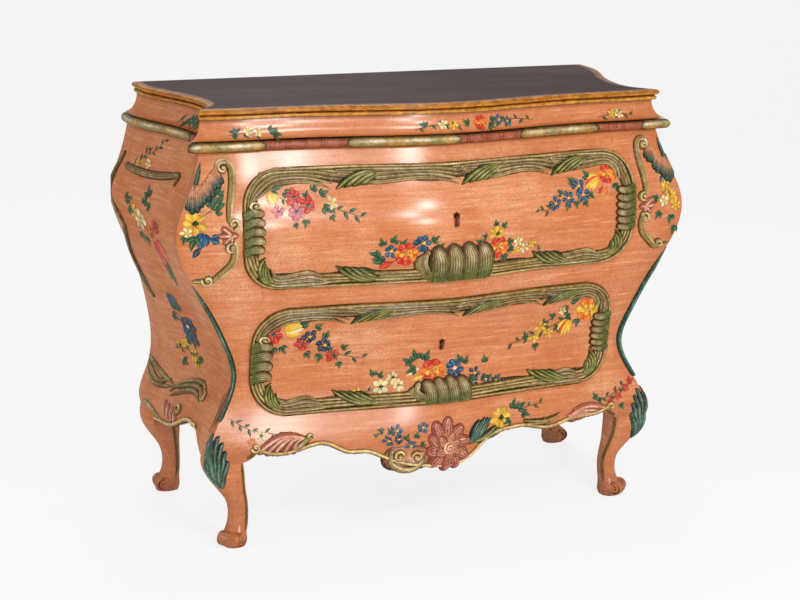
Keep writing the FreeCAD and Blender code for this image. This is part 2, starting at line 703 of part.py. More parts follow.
def drawer(name, half, low, high, depth, inner_well, blank, key_height, bed, kick_top):
    """One drawer: swelling front, box, lock case and bolt, and the strips that carry it."""
    face = s.back_plane - depth
    box_half, box_low, box_top = half - s.box_inset, low + s.box_lift, high - s.box_lift
    case_low = lock_low(key_height)
    case_top = case_low + s.lock_height
    lock_x = (s.lock_width * -0.5, s.lock_width * 0.5)
    recess = box(f"{name}_recess", lock_x, (face - s.lock_thick, 0), (case_low, case_top))
    bolt_low = case_low + s.bolt_foot
    channel = bolt_channel(f"{name}_channel", depth, bolt_low, high + OVERCUT, s.slack)
    case_box = box(f"{name}_case_box", lock_x, (face - s.lock_thick, face),
                   (case_low, case_top))
    key_way = keyhole(f"{name}_keyhole", key_height, depth)
    front = cut(f"{name}_drawer_front", common(f"{name}_front_blank", form, blank),
                inner_well, recess, channel, key_way)
    node(f"{name}_drawer_front", front)
    node(f"{name}_lock_case", cut(f"{name}_lock_case", case_box, channel))
    node(f"{name}_lock_bolt", bolt_channel(f"{name}_lock_bolt", depth, bolt_low,
                                           high - s.bolt_below_rail, as_dim(0)))
    bottom_low = box_low + s.box_bottom_lift
    bottom_top = bottom_low + s.box_bottom_thick
    inside = box_half - s.box_side_thick
    bottom_block = box(f"{name}_bottom_block", (-inside - s.groove, inside + s.groove),
                       (face - OVERCUT, s.box_back), (bottom_low, bottom_top))
    bottom = node(f"{name}_drawer_bottom",
                  cut(f"{name}_drawer_bottom",
                      common(f"{name}_bottom_blank", bottom_block, inner_well), case_box))
    side_box = box(f"{name}_side_box", (inside, box_half), (face - OVERCUT, s.box_back),
                   (box_low, box_top))
    side_blank = common(f"{name}_side_blank", side_box, inner_well)
    pair(f"{name}_drawer_side", cut(f"{name}_drawer_side_right", side_blank, bottom))
    node(f"{name}_drawer_back",
         box(f"{name}_drawer_back", (-inside, inside),
             (s.box_back - s.box_side_thick, s.box_back),
             (bottom_top, box_top - s.drawer_back_drop)))
    behind = face + s.waist_bow + s.waist_turn
    runner(f"{name}_runner", bed, box_low, box_half, behind)
    kicker(f"{name}_kicker", box_top, kick_top, box_half, behind)


for name, facts in DRAWERS.items():
    drawer(name, *facts)

# ---------------------------------------------------------------- carved trim

def relief(name, prism, *less):
    """Carving that stands on the swelling surface, cut to an outline seen from the front."""
    return cut(name, common(f"{name}_raised", relief_form, prism), form, *less)


def disc(name, x, z, radius, front, length):
    """A round block that runs back from a place in front of the chest."""
    obj = add("Part::Cylinder", name)
    obj.Placement = FreeCAD.Placement(V(0, 0, 0), FreeCAD.Rotation(V(1, 0, 0), -90))
    bind(obj, Radius=radius, Height=length)
    bind(obj, Placement_at_x=x, Placement_at_y=front, Placement_at_z=z)
    return obj


def c_scroll(name, points, width, curl, back):
    """A strip of even width along a curve, with a round curl at each end."""
    left, right = [], []
    for number, (x, z) in enumerate(points):
        before, after = points[max(number - 1, 0)], points[min(number + 1, len(points) - 1)]
        run = V(after[0].number - before[0].number, after[1].number - before[1].number, 0)
        run.normalize()
        left.append((x - width * (run.y / 2), z + width * (run.x / 2)))
        right.append((x + width * (run.y / 2), z - width * (run.x / 2)))
    right.reverse()
    outline = closed_sketch(f"{name}_outline", (
        (left, True), ((left[-1], right[0]), False),
        (right, True), ((right[-1], left[0]), False)), FRONT_VIEW)
    blade = through_y(f"{name}_blade", outline, -FAR, back)
    curls = [disc(f"{name}_curl_{number}", *points[end], curl, as_dim(-FAR), back + FAR)
             for number, end in enumerate((0, -1))]
    return fuse(name, blade, *curls)


# The shell at the foot of each frame: rounded flutes side by side.
SHELL_FLUTES = 4
FLUTE_OVERLAP, SHELL_FOOT = 1, 4
flute_radius = s.shell_width * (0.5 / SHELL_FLUTES)


def shell(name, low):
    """The outline of the fluted shell, carried through the front."""
    shoulder = low + s.shell_height - flute_radius
    flutes = [disc(f"{name}_flute_{number}",
                   flute_radius * (2 * number + 1 - SHELL_FLUTES), shoulder,
                   flute_radius + FLUTE_OVERLAP, as_dim(-FAR), as_dim(FAR))
              for number in range(SHELL_FLUTES)]
    foot = box(f"{name}_foot", (s.shell_width * -0.5, s.shell_width * 0.5), (-FAR, 0),
               (low + SHELL_FOOT, shoulder))
    return fuse(name, foot, *flutes)


for name, (half, low, high, _, _, blank, _, _, _) in DRAWERS.items():
    inner = rounded_outline(f"{name}_frame_inner", half - s.frame_width, low + s.frame_width,
                            high - s.frame_width, s.corner_radius - s.frame_width * 0.5)
    window = cut(f"{name}_window", through_y(f"{name}_window_prism", inner),
                 shell(f"{name}_shell", low))
    node(f"{name}_drawer_frame", relief(f"{name}_drawer_frame", blank, window))


def corner_y_at(level):
    """How far forward the front corner lies at a template level."""
    front, bow, turn = [getattr(s, f"{level}_{trait}") for trait in ("front_swell", "bow", "turn")]
    return s.back_plane - s.case_depth - front + bow + turn


corner = s.waist_half
scroll_back = corner_y_at("underbelly") + 30
upper_scroll = c_scroll("upper_scroll", (
    (corner + 19, s.shoulder_height + 37), (corner + 12, s.shoulder_height + 8),
    (corner + 9, s.belly_height + 55), (corner + 14, s.belly_height + 3)),
    s.scroll_width, s.curl_radius, scroll_back)
lower_scroll = c_scroll("lower_scroll", (
    (corner + 16, s.belly_height - 27), (corner + 16, s.underbelly_height + 28),
    (corner + 38, s.underbelly_height - 10), (corner + 70, s.underbelly_height - 20)),
    s.scroll_width, s.curl_radius, scroll_back)
both_sides("corner_scrolls", relief("corner_scrolls_right",
                                    fuse("scroll_prisms", upper_scroll, lower_scroll)))

RIB_LEVELS = ("flare", "waist", "taper", "flank")
RIB_SIDES = 8


def rib_ring(level):
    ring = add("Part::RegularPolygon", f"rib_{level}")
    ring.Polygon = RIB_SIDES
    bind(ring, Circumradius=s.rib_radius)
    bind(ring, Placement_at_x=s.waist_half + getattr(s, f"{level}_corner_swell"),
         Placement_at_y=corner_y_at(level), Placement_at_z=getattr(s, f"{level}_height"))
    return ring


rib_rod = loft("rib_rod", [rib_ring(level) for level in RIB_LEVELS])
both_sides("corner_ribs", cut("corner_rib_right", rib_rod, form))

ROSETTE_SHARE, PETALS, BOSS_SHARE, BOSS_RISE = 0.02, 6, 0.7, 3
rosette_x = s.lower_drawer_half * ROSETTE_SHARE
rosette_z = s.knee_height - s.rosette_drop
rosette_front = s.back_plane - s.case_depth - s.knee_front_swell - s.rosette_relief
rosette_discs = [disc("rosette_boss", rosette_x, rosette_z, s.petal_radius * BOSS_SHARE,
                      rosette_front - BOSS_RISE, s.rosette_relief * 2)]
for number in range(PETALS):
    turn = FreeCAD.Rotation(V(0, 1, 0), 360 * number / PETALS).multVec(V(0, 0, 1))
    rosette_discs.append(disc(f"petal_{number}", rosette_x + s.rosette_radius * turn.x,
                              rosette_z + s.rosette_radius * turn.z, s.petal_radius,
                              rosette_front, s.rosette_relief * 2))
node("apron_rosette", cut("apron_rosette", fuse("rosette_discs", *rosette_discs), form))

# The scroll beside the rosette: the share of the lower drawer's half width, and the drop.
PENDANT = ((-0.28, 36), (-0.244, 60), (-0.195, 72), (-0.14, 60))
pendant = c_scroll("pendant", [(s.lower_drawer_half * share, s.knee_height - drop)
                               for share, drop in PENDANT],
                   s.scroll_width, s.curl_radius, s.post_back)
node("apron_scroll", relief("apron_scroll", pendant, nodes["apron_rosette"]))

# ---------------------------------------------------------------- small hidden pieces

GLUE_BLOCK_SHARES = (-0.6, 0, 0.6)
glue = []
for number, share in enumerate(GLUE_BLOCK_SHARES):
    place = s.lower_drawer_half * share
    glue.append(box(f"glue_block_{number}", (place - s.glue_block, place + s.glue_block),
                    (well_front, well_front + s.waist_bow + s.glue_block),
                    (s.floor_low - s.glue_block, s.floor_low)))
node("glue_blocks", cut("glue_blocks", fuse("glue_block_set", *glue), rails["apron_rail"]))

# Cut nails with square heads hold the back panel to its rails.
NAIL_SHARES = (-0.9, -0.45, 0, 0.45, 0.9)
nails = []
for share in NAIL_SHARES:
    middle = s.rear_well_half * share
    for top in (s.crown_height, s.floor_low):
        height = top - s.back_rail_height * 0.5
        nails.append(box(f"nail_{len(nails)}", (middle - s.nail_half, middle + s.nail_half),
                         (s.back_plane, s.back_plane + s.nail_head),
                         (height - s.nail_half, height + s.nail_half)))
node("back_nails", fuse("back_nails", *nails))

# ---------------------------------------------------------------- checks and files

doc.recompute()
for obj in doc.Objects:
    if "Invalid" in obj.State or "Error" in obj.State:
        raise RuntimeError(f"{obj.Name} did not build: {obj.State}")
for name, obj in nodes.items():
    shape = obj.Shape
    if shape.isNull() or not shape.isValid() or not shape.Solids:
        raise RuntimeError(f"{name} has no sound solid")
os.makedirs("parts", exist_ok=True)
for name, obj in nodes.items():
    obj.Shape.exportStep(f"parts/{name}.step")
print(len(nodes), "pieces written")
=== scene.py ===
"""Bombe chest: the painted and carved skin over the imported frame.

Blender works in metres. Lengths here are millimetres in the frame's own axes (the front faces -Y,
+Z is up) and turn into metres where a mesh is made.
"""
import math
import bmesh
import bpy
import numpy as np
from mathutils import Matrix, Vector


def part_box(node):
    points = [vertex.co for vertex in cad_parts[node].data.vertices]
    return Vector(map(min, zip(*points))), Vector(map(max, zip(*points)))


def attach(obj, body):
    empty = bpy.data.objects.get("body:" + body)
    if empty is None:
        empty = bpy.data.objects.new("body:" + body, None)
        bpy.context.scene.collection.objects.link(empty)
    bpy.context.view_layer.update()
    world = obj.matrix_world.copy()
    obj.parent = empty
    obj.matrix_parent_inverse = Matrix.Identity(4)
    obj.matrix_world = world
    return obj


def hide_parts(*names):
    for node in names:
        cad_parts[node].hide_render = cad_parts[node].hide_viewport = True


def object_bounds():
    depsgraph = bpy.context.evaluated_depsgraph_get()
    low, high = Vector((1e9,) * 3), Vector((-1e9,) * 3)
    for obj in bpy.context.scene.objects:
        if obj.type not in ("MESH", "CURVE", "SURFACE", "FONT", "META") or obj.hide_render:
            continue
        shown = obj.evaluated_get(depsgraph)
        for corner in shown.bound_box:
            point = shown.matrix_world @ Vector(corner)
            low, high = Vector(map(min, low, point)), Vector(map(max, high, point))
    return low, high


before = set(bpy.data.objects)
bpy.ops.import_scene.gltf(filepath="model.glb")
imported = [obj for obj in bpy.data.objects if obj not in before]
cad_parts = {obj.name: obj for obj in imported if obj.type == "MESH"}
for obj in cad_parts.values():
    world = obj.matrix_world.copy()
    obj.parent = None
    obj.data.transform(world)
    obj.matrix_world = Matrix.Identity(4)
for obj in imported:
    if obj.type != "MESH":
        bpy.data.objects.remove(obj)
CAD_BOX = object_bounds()
MILLIMETRE = 0.001
BOX_MARGIN = 0.0002
SHARP_ANGLE = math.radians(40)
WELD_REACH, SLIVER = 0.00002, 0.00001
BOX_LOW, BOX_HIGH = [np.array(corner) for corner in CAD_BOX]
RANDOM = np.random.default_rng(7)


# ---------------------------------------------------------------- camera

CAMERA_PLACE = (-1.4829, -3.4758, 1.4543)
CAMERA_TURNS = (22.846, -15.023, 1.124)
LENS, SENSOR = 83.02, 36


def add_camera():
    """The photograph's viewpoint: from the left of the front, looking down a little."""
    yaw, pitch, roll = np.radians(CAMERA_TURNS)
    forward = np.array([np.sin(yaw) * np.cos(pitch), np.cos(yaw) * np.cos(pitch), np.sin(pitch)])
    level = np.array([np.cos(yaw), -np.sin(yaw), 0])
    upright = np.cross(level, forward)
    right = np.cos(roll) * level + np.sin(roll) * upright
    up = np.cos(roll) * upright - np.sin(roll) * level
    data = bpy.data.cameras.new("camera")
    data.lens = LENS
    data.sensor_width = SENSOR
    camera = bpy.data.objects.new("camera", data)
    bpy.context.scene.collection.objects.link(camera)
    rows = list(zip(right, up, -forward, CAMERA_PLACE))
    camera.matrix_world = Matrix(rows + [(0, 0, 0, 1)])
    bpy.context.scene.camera = camera


add_camera()


# ---------------------------------------------------------------- the swelling form

def box_mm(node):
    """A CAD node's lowest and highest corner, in millimetres."""
    return [np.array(corner) * 1000 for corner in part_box(node)]


class Spline:
    """A natural cubic curve through points with rising places."""

    def __init__(self, places, amounts):
        self.x, self.y = np.array(places, float), np.array(amounts, float)
        count = len(self.x)
        gaps, steps = np.diff(self.x), np.diff(self.y)
        system, turns = np.eye(count), np.zeros(count)
        for i in range(1, count - 1):
            system[i, i - 1:i + 2] = gaps[i - 1] / 6, (gaps[i - 1] + gaps[i]) / 3, gaps[i] / 6
            turns[i] = steps[i] / gaps[i] - steps[i - 1] / gaps[i - 1]
        self.bend = np.linalg.solve(system, turns)

    def __call__(self, place):
        place = np.clip(np.asarray(place, float), self.x[0], self.x[-1])
        i = np.clip(np.searchsorted(self.x, place) - 1, 0, len(self.x) - 2)
        gap = self.x[i + 1] - self.x[i]
        a, b = (self.x[i + 1] - place) / gap, (place - self.x[i]) / gap
        bend = (a ** 3 - a) * self.bend[i] + (b ** 3 - b) * self.bend[i + 1]
        return a * self.y[i] + b * self.y[i + 1] + bend * gap * gap / 6


def even(*points):
    """A curve that is the same on both sides of zero."""
    mirrored = [(-x, y) for x, y in points[:0:-1]]
    return Spline(*zip(*(mirrored + list(points))))


KNEE_HEIGHT = 215.0
BACK = box_mm("back_panel")[1][1]
CROWN = box_mm("torus_front")[0][2]
TORUS_TOP = box_mm("frieze_front")[0][2]
FRIEZE_TOP = box_mm("top_board")[0][2]
TOP = box_mm("top_board")[1][2]
RAIL_HALF = box_mm("mid_rail")[1][0]
WAIST_HALF, CASE_DEPTH = 432.0, 422.0
GAP, CORNER_RADIUS = 1.2, 75.0
LOWER_LOW, LOWER_TOP = 268.0, 497.0
UPPER_LOW, UPPER_TOP = 537.0, 776.0
LOWER_HALF, UPPER_HALF = 401.0, 427.0
# Each drawer's outline: half width, lowest and highest line.
OUTLINES = {"upper": (UPPER_HALF, UPPER_LOW, UPPER_TOP), "lower": (LOWER_HALF, LOWER_LOW, LOWER_TOP)}
LEVELS = (101.1, 159.1, 215, 281.7, 350.4, 419.1, 501, 580, 664.9, 749.7, 808)
TEMPLATES = {
    "corner": (36, 53, 58, 28, 0, 17, 57, 103, 120, 84, 66),
    "rear": (58, 76, 92, 72, 64, 73, 93, 123, 145, 121, 106),
    "front": (18, 26, 22, 8, 0, 8, 29, 52, 61, 36, 12),
    "bow": (24, 24, 26, 28, 28, 28, 32, 42, 47, 42, 42),
    "turn": (10, 10, 3, 3, 6, 5, 12, 15, 21, 15, 8),
    "pinch": (0, 0, 0, 0, 0, 2, 8, 22, 30, 24, 18),
}
TRAIT = {name: Spline(LEVELS, amounts) for name, amounts in TEMPLATES.items()}
FRONT_WAVE = even((0, 0), (0.17, 0.14), (0.33, 0.48), (0.5, 0.81), (0.67, 0.98), (0.84, 1), (1, 1))
CORNER_WAVE = even((0, 0), (0.17, 0), (0.33, 0), (0.5, 0), (0.67, 0), (0.84, 0), (1, 1))
SIDE_WAVE = Spline((0, 0.19, 0.36, 0.52, 0.68, 0.84, 1), (0, 0, 0.08, 0.3, 0.66, 0.94, 1))
PINCH_WAVE = Spline((0, 0.19, 0.36, 0.52, 0.68, 0.84, 1), (1, 0, 0, 0, 0, 0, 0))


def corner_x(z):
    return WAIST_HALF + TRAIT["corner"](z)


def front_y(x, z):
    share = np.clip(x / corner_x(z), -1, 1)
    line = BACK - CASE_DEPTH - TRAIT["front"](z)
    return line + TRAIT["bow"](z) * FRONT_WAVE(share) + TRAIT["turn"](z) * CORNER_WAVE(share)


def side_run(z):
    return CASE_DEPTH + TRAIT["front"](z) - TRAIT["bow"](z) - TRAIT["turn"](z)


def side_x(y, z):
    share = np.clip(1 - (BACK - y) / side_run(z), 0, 1)
    narrow = corner_x(z) - TRAIT["pinch"](z)
    rear = WAIST_HALF + TRAIT["rear"](z)
    return toward(narrow, rear, SIDE_WAVE(share)) + TRAIT["pinch"](z) * PINCH_WAVE(share)


class Face:
    """A surface with two coordinates. place() puts points on it, lifted along its normal."""

    STEP = 0.5

    def place(self, a, b, lift=0.0):
        a, b = np.broadcast_arrays(np.asarray(a, float), np.asarray(b, float))
        along = self.point(a + self.STEP, b) - self.point(a - self.STEP, b)
        upward = self.point(a, b + self.STEP) - self.point(a, b - self.STEP)
        normal = np.cross(along, upward) * self.sign
        normal /= np.linalg.norm(normal, axis=-1, keepdims=True)
        return self.point(a, b) + normal * np.asarray(lift)[..., None]


class FrontFace(Face):
    """Coordinates are x and z."""
    sign = 1

    def point(self, x, z):
        return np.stack([x, front_y(x, z), z], -1)


class SideFace(Face):
    """Coordinates are y and z, on the side where x has the given sign."""

    def __init__(self, side):
        self.side = self.sign = side

    def point(self, y, z):
        return np.stack([self.side * side_x(y, z), y, z], -1)


FRONT = FrontFace()
SIDES = {"left": SideFace(-1), "right": SideFace(1)}


# ---------------------------------------------------------------- meshes

def srgb(red, green, blue):
    """A colour written as 0-255 screen values, as the linear colour that shaders use."""
    share = np.array([red, green, blue]) / 255
    return np.where(share <= 0.04045, share / 12.92, ((share + 0.055) / 1.055) ** 2.4)


def shades(*colours):
    """The dark, middle and pale colours of one paint. On the carving the dark one gives painted shade
    and the pale one painted highlights.
    """
    return tuple(srgb(*colour) for colour in colours)


def toward(first, second, share):
    """The value that lies a share of the way from one to another."""
    return first + (second - first) * share


def hump(distance, width):
    """A smooth hump over zero, 1 high."""
    return np.exp(-(distance / width) ** 2)


def fall(distance, reach):
    """A value that starts at 1 and dies away with the distance."""
    return np.exp(-distance / reach)


def polar(reach, heading):
    """How far across and up a reach goes in a direction in degrees."""
    return reach * math.cos(math.radians(heading)), reach * math.sin(math.radians(heading))


class Builder:
    """Gathers grids of points with colours into one mesh."""

    def __init__(self):
        self.points, self.colours, self.faces, self.count = [], [], [], 0

    def grid(self, points, colour=(1, 1, 1), closed=False, flip=False, keep=None):
        """Points are rows by columns. With closed, the last column joins the first, and keep
        says which points count: a face with none of them is left out."""
        rows, columns = points.shape[:2]
        index = np.arange(rows * columns).reshape(rows, columns) + self.count
        if closed:
            index = np.concatenate([index, index[:, :1]], 1)
        quads = np.stack([index[:-1, :-1], index[:-1, 1:], index[1:, 1:], index[1:, :-1]], -1)
        quads = quads.reshape(-1, 4)
        if keep is not None:
            quads = quads[keep.ravel()[quads - self.count].any(1)]
        self.faces.append(quads[:, ::-1] if flip else quads)
        self.points.append(points.reshape(-1, 3))
        colour = np.broadcast_to(np.asarray(colour, float), (rows, columns, 3))
        self.colours.append(colour.reshape(-1, 3))
        self.count += rows * columns

    def cap(self, ring, colour=(1, 1, 1), shares=(0.001,), closed=True):
        """Fills a ring with copies of it that shrink towards its middle."""
        middle = ring.mean(0)
        rings = [ring] + [middle + (ring - middle) * share for share in shares]
        self.grid(np.stack(rings), colour, closed)

    def piece(self, name, material, body="case", replaces=(), slot="body", merge=True):
        """Makes the object, gives it its material and puts it on its body."""
        points = np.concatenate(self.points) * MILLIMETRE
        points = np.clip(points, BOX_LOW + (BOX_MARGIN, BOX_MARGIN, 0), BOX_HIGH - BOX_MARGIN)
        faces = np.concatenate(self.faces)
        used, faces = np.unique(faces, return_inverse=True)
        faces = faces.reshape(-1, 4)
        points, colours = points[used], np.concatenate(self.colours)[used]
        mesh = bpy.data.meshes.new(name)
        mesh.from_pydata(points.tolist(), [], faces.tolist())
        tone = mesh.color_attributes.new("tone", "FLOAT_COLOR", "POINT")
        tone.data.foreach_set("color", np.c_[colours, np.ones(len(colours))].ravel())
        if merge:
            weld(mesh)
        mesh.polygons.foreach_set("use_smooth", [True] * len(mesh.polygons))
        mesh.set_sharp_from_angle(angle=SHARP_ANGLE)
        mesh.materials.append(material)
        mesh.update()
        piece = bpy.data.objects.new(name, mesh)
        bpy.context.scene.collection.objects.link(piece)
        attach(piece, body)
        if replaces:
            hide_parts(*replaces)
        return piece


def weld(mesh):
    """Joins points that meet, drops slivers and turns the faces outwards."""
    work = bmesh.new()
    work.from_mesh(mesh)
    bmesh.ops.remove_doubles(work, verts=work.verts, dist=WELD_REACH)
    bmesh.ops.dissolve_degenerate(work, edges=work.edges, dist=SLIVER)
    bmesh.ops.recalc_face_normals(work, faces=work.faces)
    work.to_mesh(mesh)
    work.free()


def slab(out, outer, inner, colour, rim=None):
    """A closed plate between two grids of the same size."""
    rim = colour if rim is None else rim
    out.grid(outer, colour)
    out.grid(inner, rim, flip=True)
    for edge_out, edge_in in ((outer[0], inner[0]), (outer[-1], inner[-1]),
                              (outer[:, 0], inner[:, 0]), (outer[:, -1], inner[:, -1])):
        out.grid(np.stack([edge_out, edge_in]), rim)


# ---------------------------------------------------------------- materials

class Tree:
    """A node tree, with a method for each kind of node that the finishes need."""

    def __init__(self, tree):
        self.nodes, self.links = tree.nodes, tree.links

    def fill(self, socket, value):
        """Puts a number, a colour or another node's output on a socket."""
        if isinstance(value, (int, float)):
            socket.default_value = value
        elif isinstance(value, (tuple, np.ndarray)):
            socket.default_value = (*value, 1)
        else:
            self.links.new(value, socket)

    def noise(self, scale, detail=4.0, stretch=(1, 1, 1), rough=0.6):
        """Noise in the object's own coordinates, stretched along its axes."""
        where = self.nodes.new("ShaderNodeTexCoord")
        mapping = self.nodes.new("ShaderNodeMapping")
        mapping.inputs["Scale"].default_value = stretch
        texture = self.nodes.new("ShaderNodeTexNoise")
        for socket, amount in (("Scale", scale), ("Detail", detail), ("Roughness", rough)):
            texture.inputs[socket].default_value = amount
        self.links.new(where.outputs["Object"], mapping.inputs["Vector"])
        self.links.new(mapping.outputs["Vector"], texture.inputs["Vector"])
        return texture.outputs["Fac"]

    def ramp(self, source, low, high, start=0.0, end=1.0):
        """Maps a stretch of a value onto another, clamped."""
        node = self.nodes.new("ShaderNodeMapRange")
        for socket, value in (("Value", source), ("From Min", low), ("From Max", high),
                              ("To Min", start), ("To Max", end)):
            self.fill(node.inputs[socket], value)
        return node.outputs["Result"]

    def mix(self, share, first, second, mode="MIX"):
        """Mixes two colours."""
        node = self.nodes.new("ShaderNodeMix")
        node.data_type = "RGBA"
        node.blend_type = mode
        for place, value in ((0, share), (6, first), (7, second)):
            self.fill(node.inputs[place], value)
        return node.outputs[2]

    def math(self, operation, first, second):
        node = self.nodes.new("ShaderNodeMath")
        node.operation = operation
        for socket, value in zip(node.inputs, (first, second)):
            self.fill(socket, value)
        return node.outputs[0]

    def seen(self):
        """1 for what the camera and reflections see, and otherwise 0."""
        path = self.nodes.new("ShaderNodeLightPath")
        return self.math("MAXIMUM", path.outputs["Is Camera Ray"], path.outputs["Is Glossy Ray"])


class Finish(Tree):
    """A material round its principled shader."""

    def __init__(self, name):
        self.material = bpy.data.materials.new(name)
        self.material.use_nodes = True
        super().__init__(self.material.node_tree)
        self.shader = self.nodes["Principled BSDF"]

    def put(self, socket, value):
        self.fill(self.shader.inputs[socket], value)

    def tone(self):
        """The colour on the mesh's points."""
        attribute = self.nodes.new("ShaderNodeAttribute")
        attribute.attribute_name = "tone"
        return attribute.outputs["Color"]

    def tone_channels(self):
        """The mesh's own tone: red is age, green is glaze, blue is wear. Red and green also carry
        painted shade, beside the frames and on the frieze.
        """
        tone = self.tone()
        split = self.nodes.new("ShaderNodeSeparateColor")
        self.links.new(tone, split.inputs[0])
        return split.outputs

    def bump(self, height, strength, distance):
        node = self.nodes.new("ShaderNodeBump")
        node.inputs["Strength"].default_value = strength
        node.inputs["Distance"].default_value = distance
        self.links.new(height, node.inputs["Height"])
        self.put("Normal", node.outputs["Normal"])

    def varnish(self, weight):
        """A thin old varnish: glossy where it faces the eye, dull at a slant."""
        facing = self.nodes.new("ShaderNodeLayerWeight")
        facing.inputs["Blend"].default_value = 0.5
        self.put("Coat Weight", self.ramp(facing.outputs["Facing"], 0.3, 0.62, weight, weight * 0.12))
        self.put("Coat Roughness", 0.2)


SALMON, SALMON_PINK = srgb(212, 126, 66), srgb(228, 160, 110)
AMBER, UMBER = srgb(192, 102, 36), srgb(84, 40, 14)


def body_material():
    """Salmon paint under old varnish: soft clouds, brush streaks, specks and amber glaze; the amber
    and umber that the mesh's tone lays on also paint shade in places.
    """
    finish = Finish("salmon_paint")
    clouds = finish.ramp(finish.noise(4.5, 5), 0.38, 0.64)
    paint = finish.mix(clouds, SALMON, SALMON_PINK)
    patches = finish.ramp(finish.noise(11, 8, rough=0.8), 0.44, 0.64, 0, 0.7)
    paint = finish.mix(patches, paint, srgb(198, 106, 48))
    streaks = finish.noise(34, 8, (0.3, 0.3, 5), 0.75)
    paint = finish.mix(finish.ramp(streaks, 0.48, 0.68, 0, 0.65), paint, srgb(178, 90, 42))
    pale = finish.ramp(streaks, 0.46, 0.3, 0, 0.7)
    paint = finish.mix(pale, paint, srgb(242, 194, 152))
    age, glaze, wear = finish.tone_channels()[:3]
    mottle = finish.ramp(finish.noise(38, 7, rough=0.75), 0.32, 0.7, 0.3, 1)
    # Amber and umber where the mesh's tone says: glaze, and in places painted shade.
    paint = finish.mix(finish.math("MULTIPLY", age, mottle), paint, AMBER)
    paint = finish.mix(finish.math("MULTIPLY", glaze, mottle), paint, UMBER)
    fine = finish.noise(420, 5, rough=0.75)
    paint = finish.mix(finish.ramp(fine, 0.45, 0.66, 0.0, 0.75), paint, srgb(166, 80, 30))
    specks = finish.ramp(finish.noise(190, 4, rough=0.7), 0.64, 0.69, 0, 0.95)
    paint = finish.mix(specks, paint, srgb(96, 44, 18))
    worn = finish.ramp(finish.noise(60, 6, rough=0.8), 0.45, 0.62)
    paint = finish.mix(finish.math("MULTIPLY", wear, worn), paint, srgb(70, 34, 16))
    finish.put("Base Color", paint)
    finish.put("Roughness", finish.ramp(finish.noise(14, 5), 0.3, 0.7, 0.4, 0.55))
    finish.varnish(1.0)
    finish.put("Specular IOR Level", 0.06)
    height = finish.mix(0.4, streaks, fine)
    finish.bump(height, 0.45, 0.0009)
    return finish.material


def painted_material(name, roughness, bump_scale, bump_strength, dirt, streak=(1, 1, 1)):
    """Paint whose colour is on the mesh, with mottling, dark specks and an old varnish."""
    finish = Finish(name)
    tone = finish.tone()
    mottle = finish.ramp(finish.noise(90, 6, streak, 0.8), 0.38, 0.64, 0, dirt)
    dark = finish.mix(1.0, tone, srgb(152, 110, 66), "MULTIPLY")
    paint = finish.mix(mottle, tone, dark)
    pale = finish.ramp(finish.noise(210, 4, streak, 0.7), 0.54, 0.68, 0, 0.3)
    light = finish.mix(0.5, tone, srgb(236, 222, 176))
    paint = finish.mix(pale, paint, light)
    finish.put("Base Color", paint)
    finish.put("Roughness", roughness)
    finish.varnish(0.3)
    finish.put("Specular IOR Level", 0.08)
    finish.bump(finish.noise(bump_scale, 5, streak), bump_strength, 0.0006)
    return finish.material


def top_material():
    """Dark wood with a grey-purple bloom, its grain along the chest, scratched and polished."""
    finish = Finish("top_wood")
    grain = finish.noise(7, 9, (0.6, 9, 9), 0.7)
    wood = finish.mix(finish.ramp(grain, 0.3, 0.7), srgb(48, 33, 33), srgb(74, 56, 54))
    fine = finish.noise(60, 6, (0.5, 12, 12), 0.75)
    wood = finish.mix(finish.ramp(fine, 0.5, 0.75, 0, 0.6), wood, srgb(50, 34, 38))
    bloom = finish.ramp(finish.noise(4, 5, (0.8, 2, 2)), 0.45, 0.7, 0, 0.5)
    wood = finish.mix(bloom, wood, srgb(92, 76, 74))
    finish.put("Base Color", wood)
    finish.put("Roughness", finish.ramp(grain, 0.3, 0.7, 0.45, 0.6))
    finish.put("Specular IOR Level", 0.03)
    finish.bump(fine, 0.3, 0.0004)
    return finish.material


def wood_material():
    """Bare planed wood for the inside."""
    finish = Finish("bare_wood")
    grain = finish.noise(12, 8, (0.5, 0.5, 6), 0.65)
    wood = finish.mix(finish.ramp(grain, 0.3, 0.7), srgb(140, 98, 60), srgb(190, 146, 98))
    pores = finish.noise(120, 5, (0.4, 0.4, 8), 0.7)
    wood = finish.mix(finish.ramp(pores, 0.52, 0.7, 0, 0.55), wood, srgb(98, 62, 34))
    finish.put("Base Color", wood)
    finish.put("Roughness", finish.ramp(pores, 0.3, 0.7, 0.55, 0.75))
    finish.bump(pores, 0.35, 0.0004)
    return finish.material


def iron_material():
    """Rusty old iron for the locks and nails."""
    finish = Finish("old_iron")
    patches = finish.noise(40, 7, rough=0.7)
    colour = finish.mix(finish.ramp(patches, 0.4, 0.65), srgb(44, 38, 34), srgb(88, 70, 54))
    finish.put("Base Color", colour)
    finish.put("Metallic", 0.75)
    finish.put("Roughness", finish.ramp(patches, 0.3, 0.7, 0.4, 0.7))
    finish.bump(finish.noise(160, 5), 0.4, 0.0003)
    return finish.material


BODY = body_material()
CARVED = painted_material("carved_paint", 0.4, 220, 0.6, 0.8)
FLOWER = painted_material("flower_paint", 0.34, 500, 0.3, 0.3)
GILT = painted_material("gilt_edge", 0.4, 160, 0.5, 0.9, (0.5, 0.5, 2))
TOP_WOOD = top_material()
BARE_WOOD = wood_material()
IRON = iron_material()


# ---------------------------------------------------------------- outlines

def outline_half(z, half, low, high):
    """Half width of a cartouche outline at a height."""
    sag = np.maximum(np.maximum(low + CORNER_RADIUS - z, z - (high - CORNER_RADIUS)), 0)
    return half - CORNER_RADIUS + np.sqrt(np.maximum(CORNER_RADIUS ** 2 - sag ** 2, 0))


def outline_rise(x, half):
    """How far a cartouche outline has turned up from its lowest line at a place across."""
    sag = np.maximum(np.abs(x) - (half - CORNER_RADIUS), 0)
    return CORNER_RADIUS - np.sqrt(np.maximum(CORNER_RADIUS ** 2 - sag ** 2, 0))


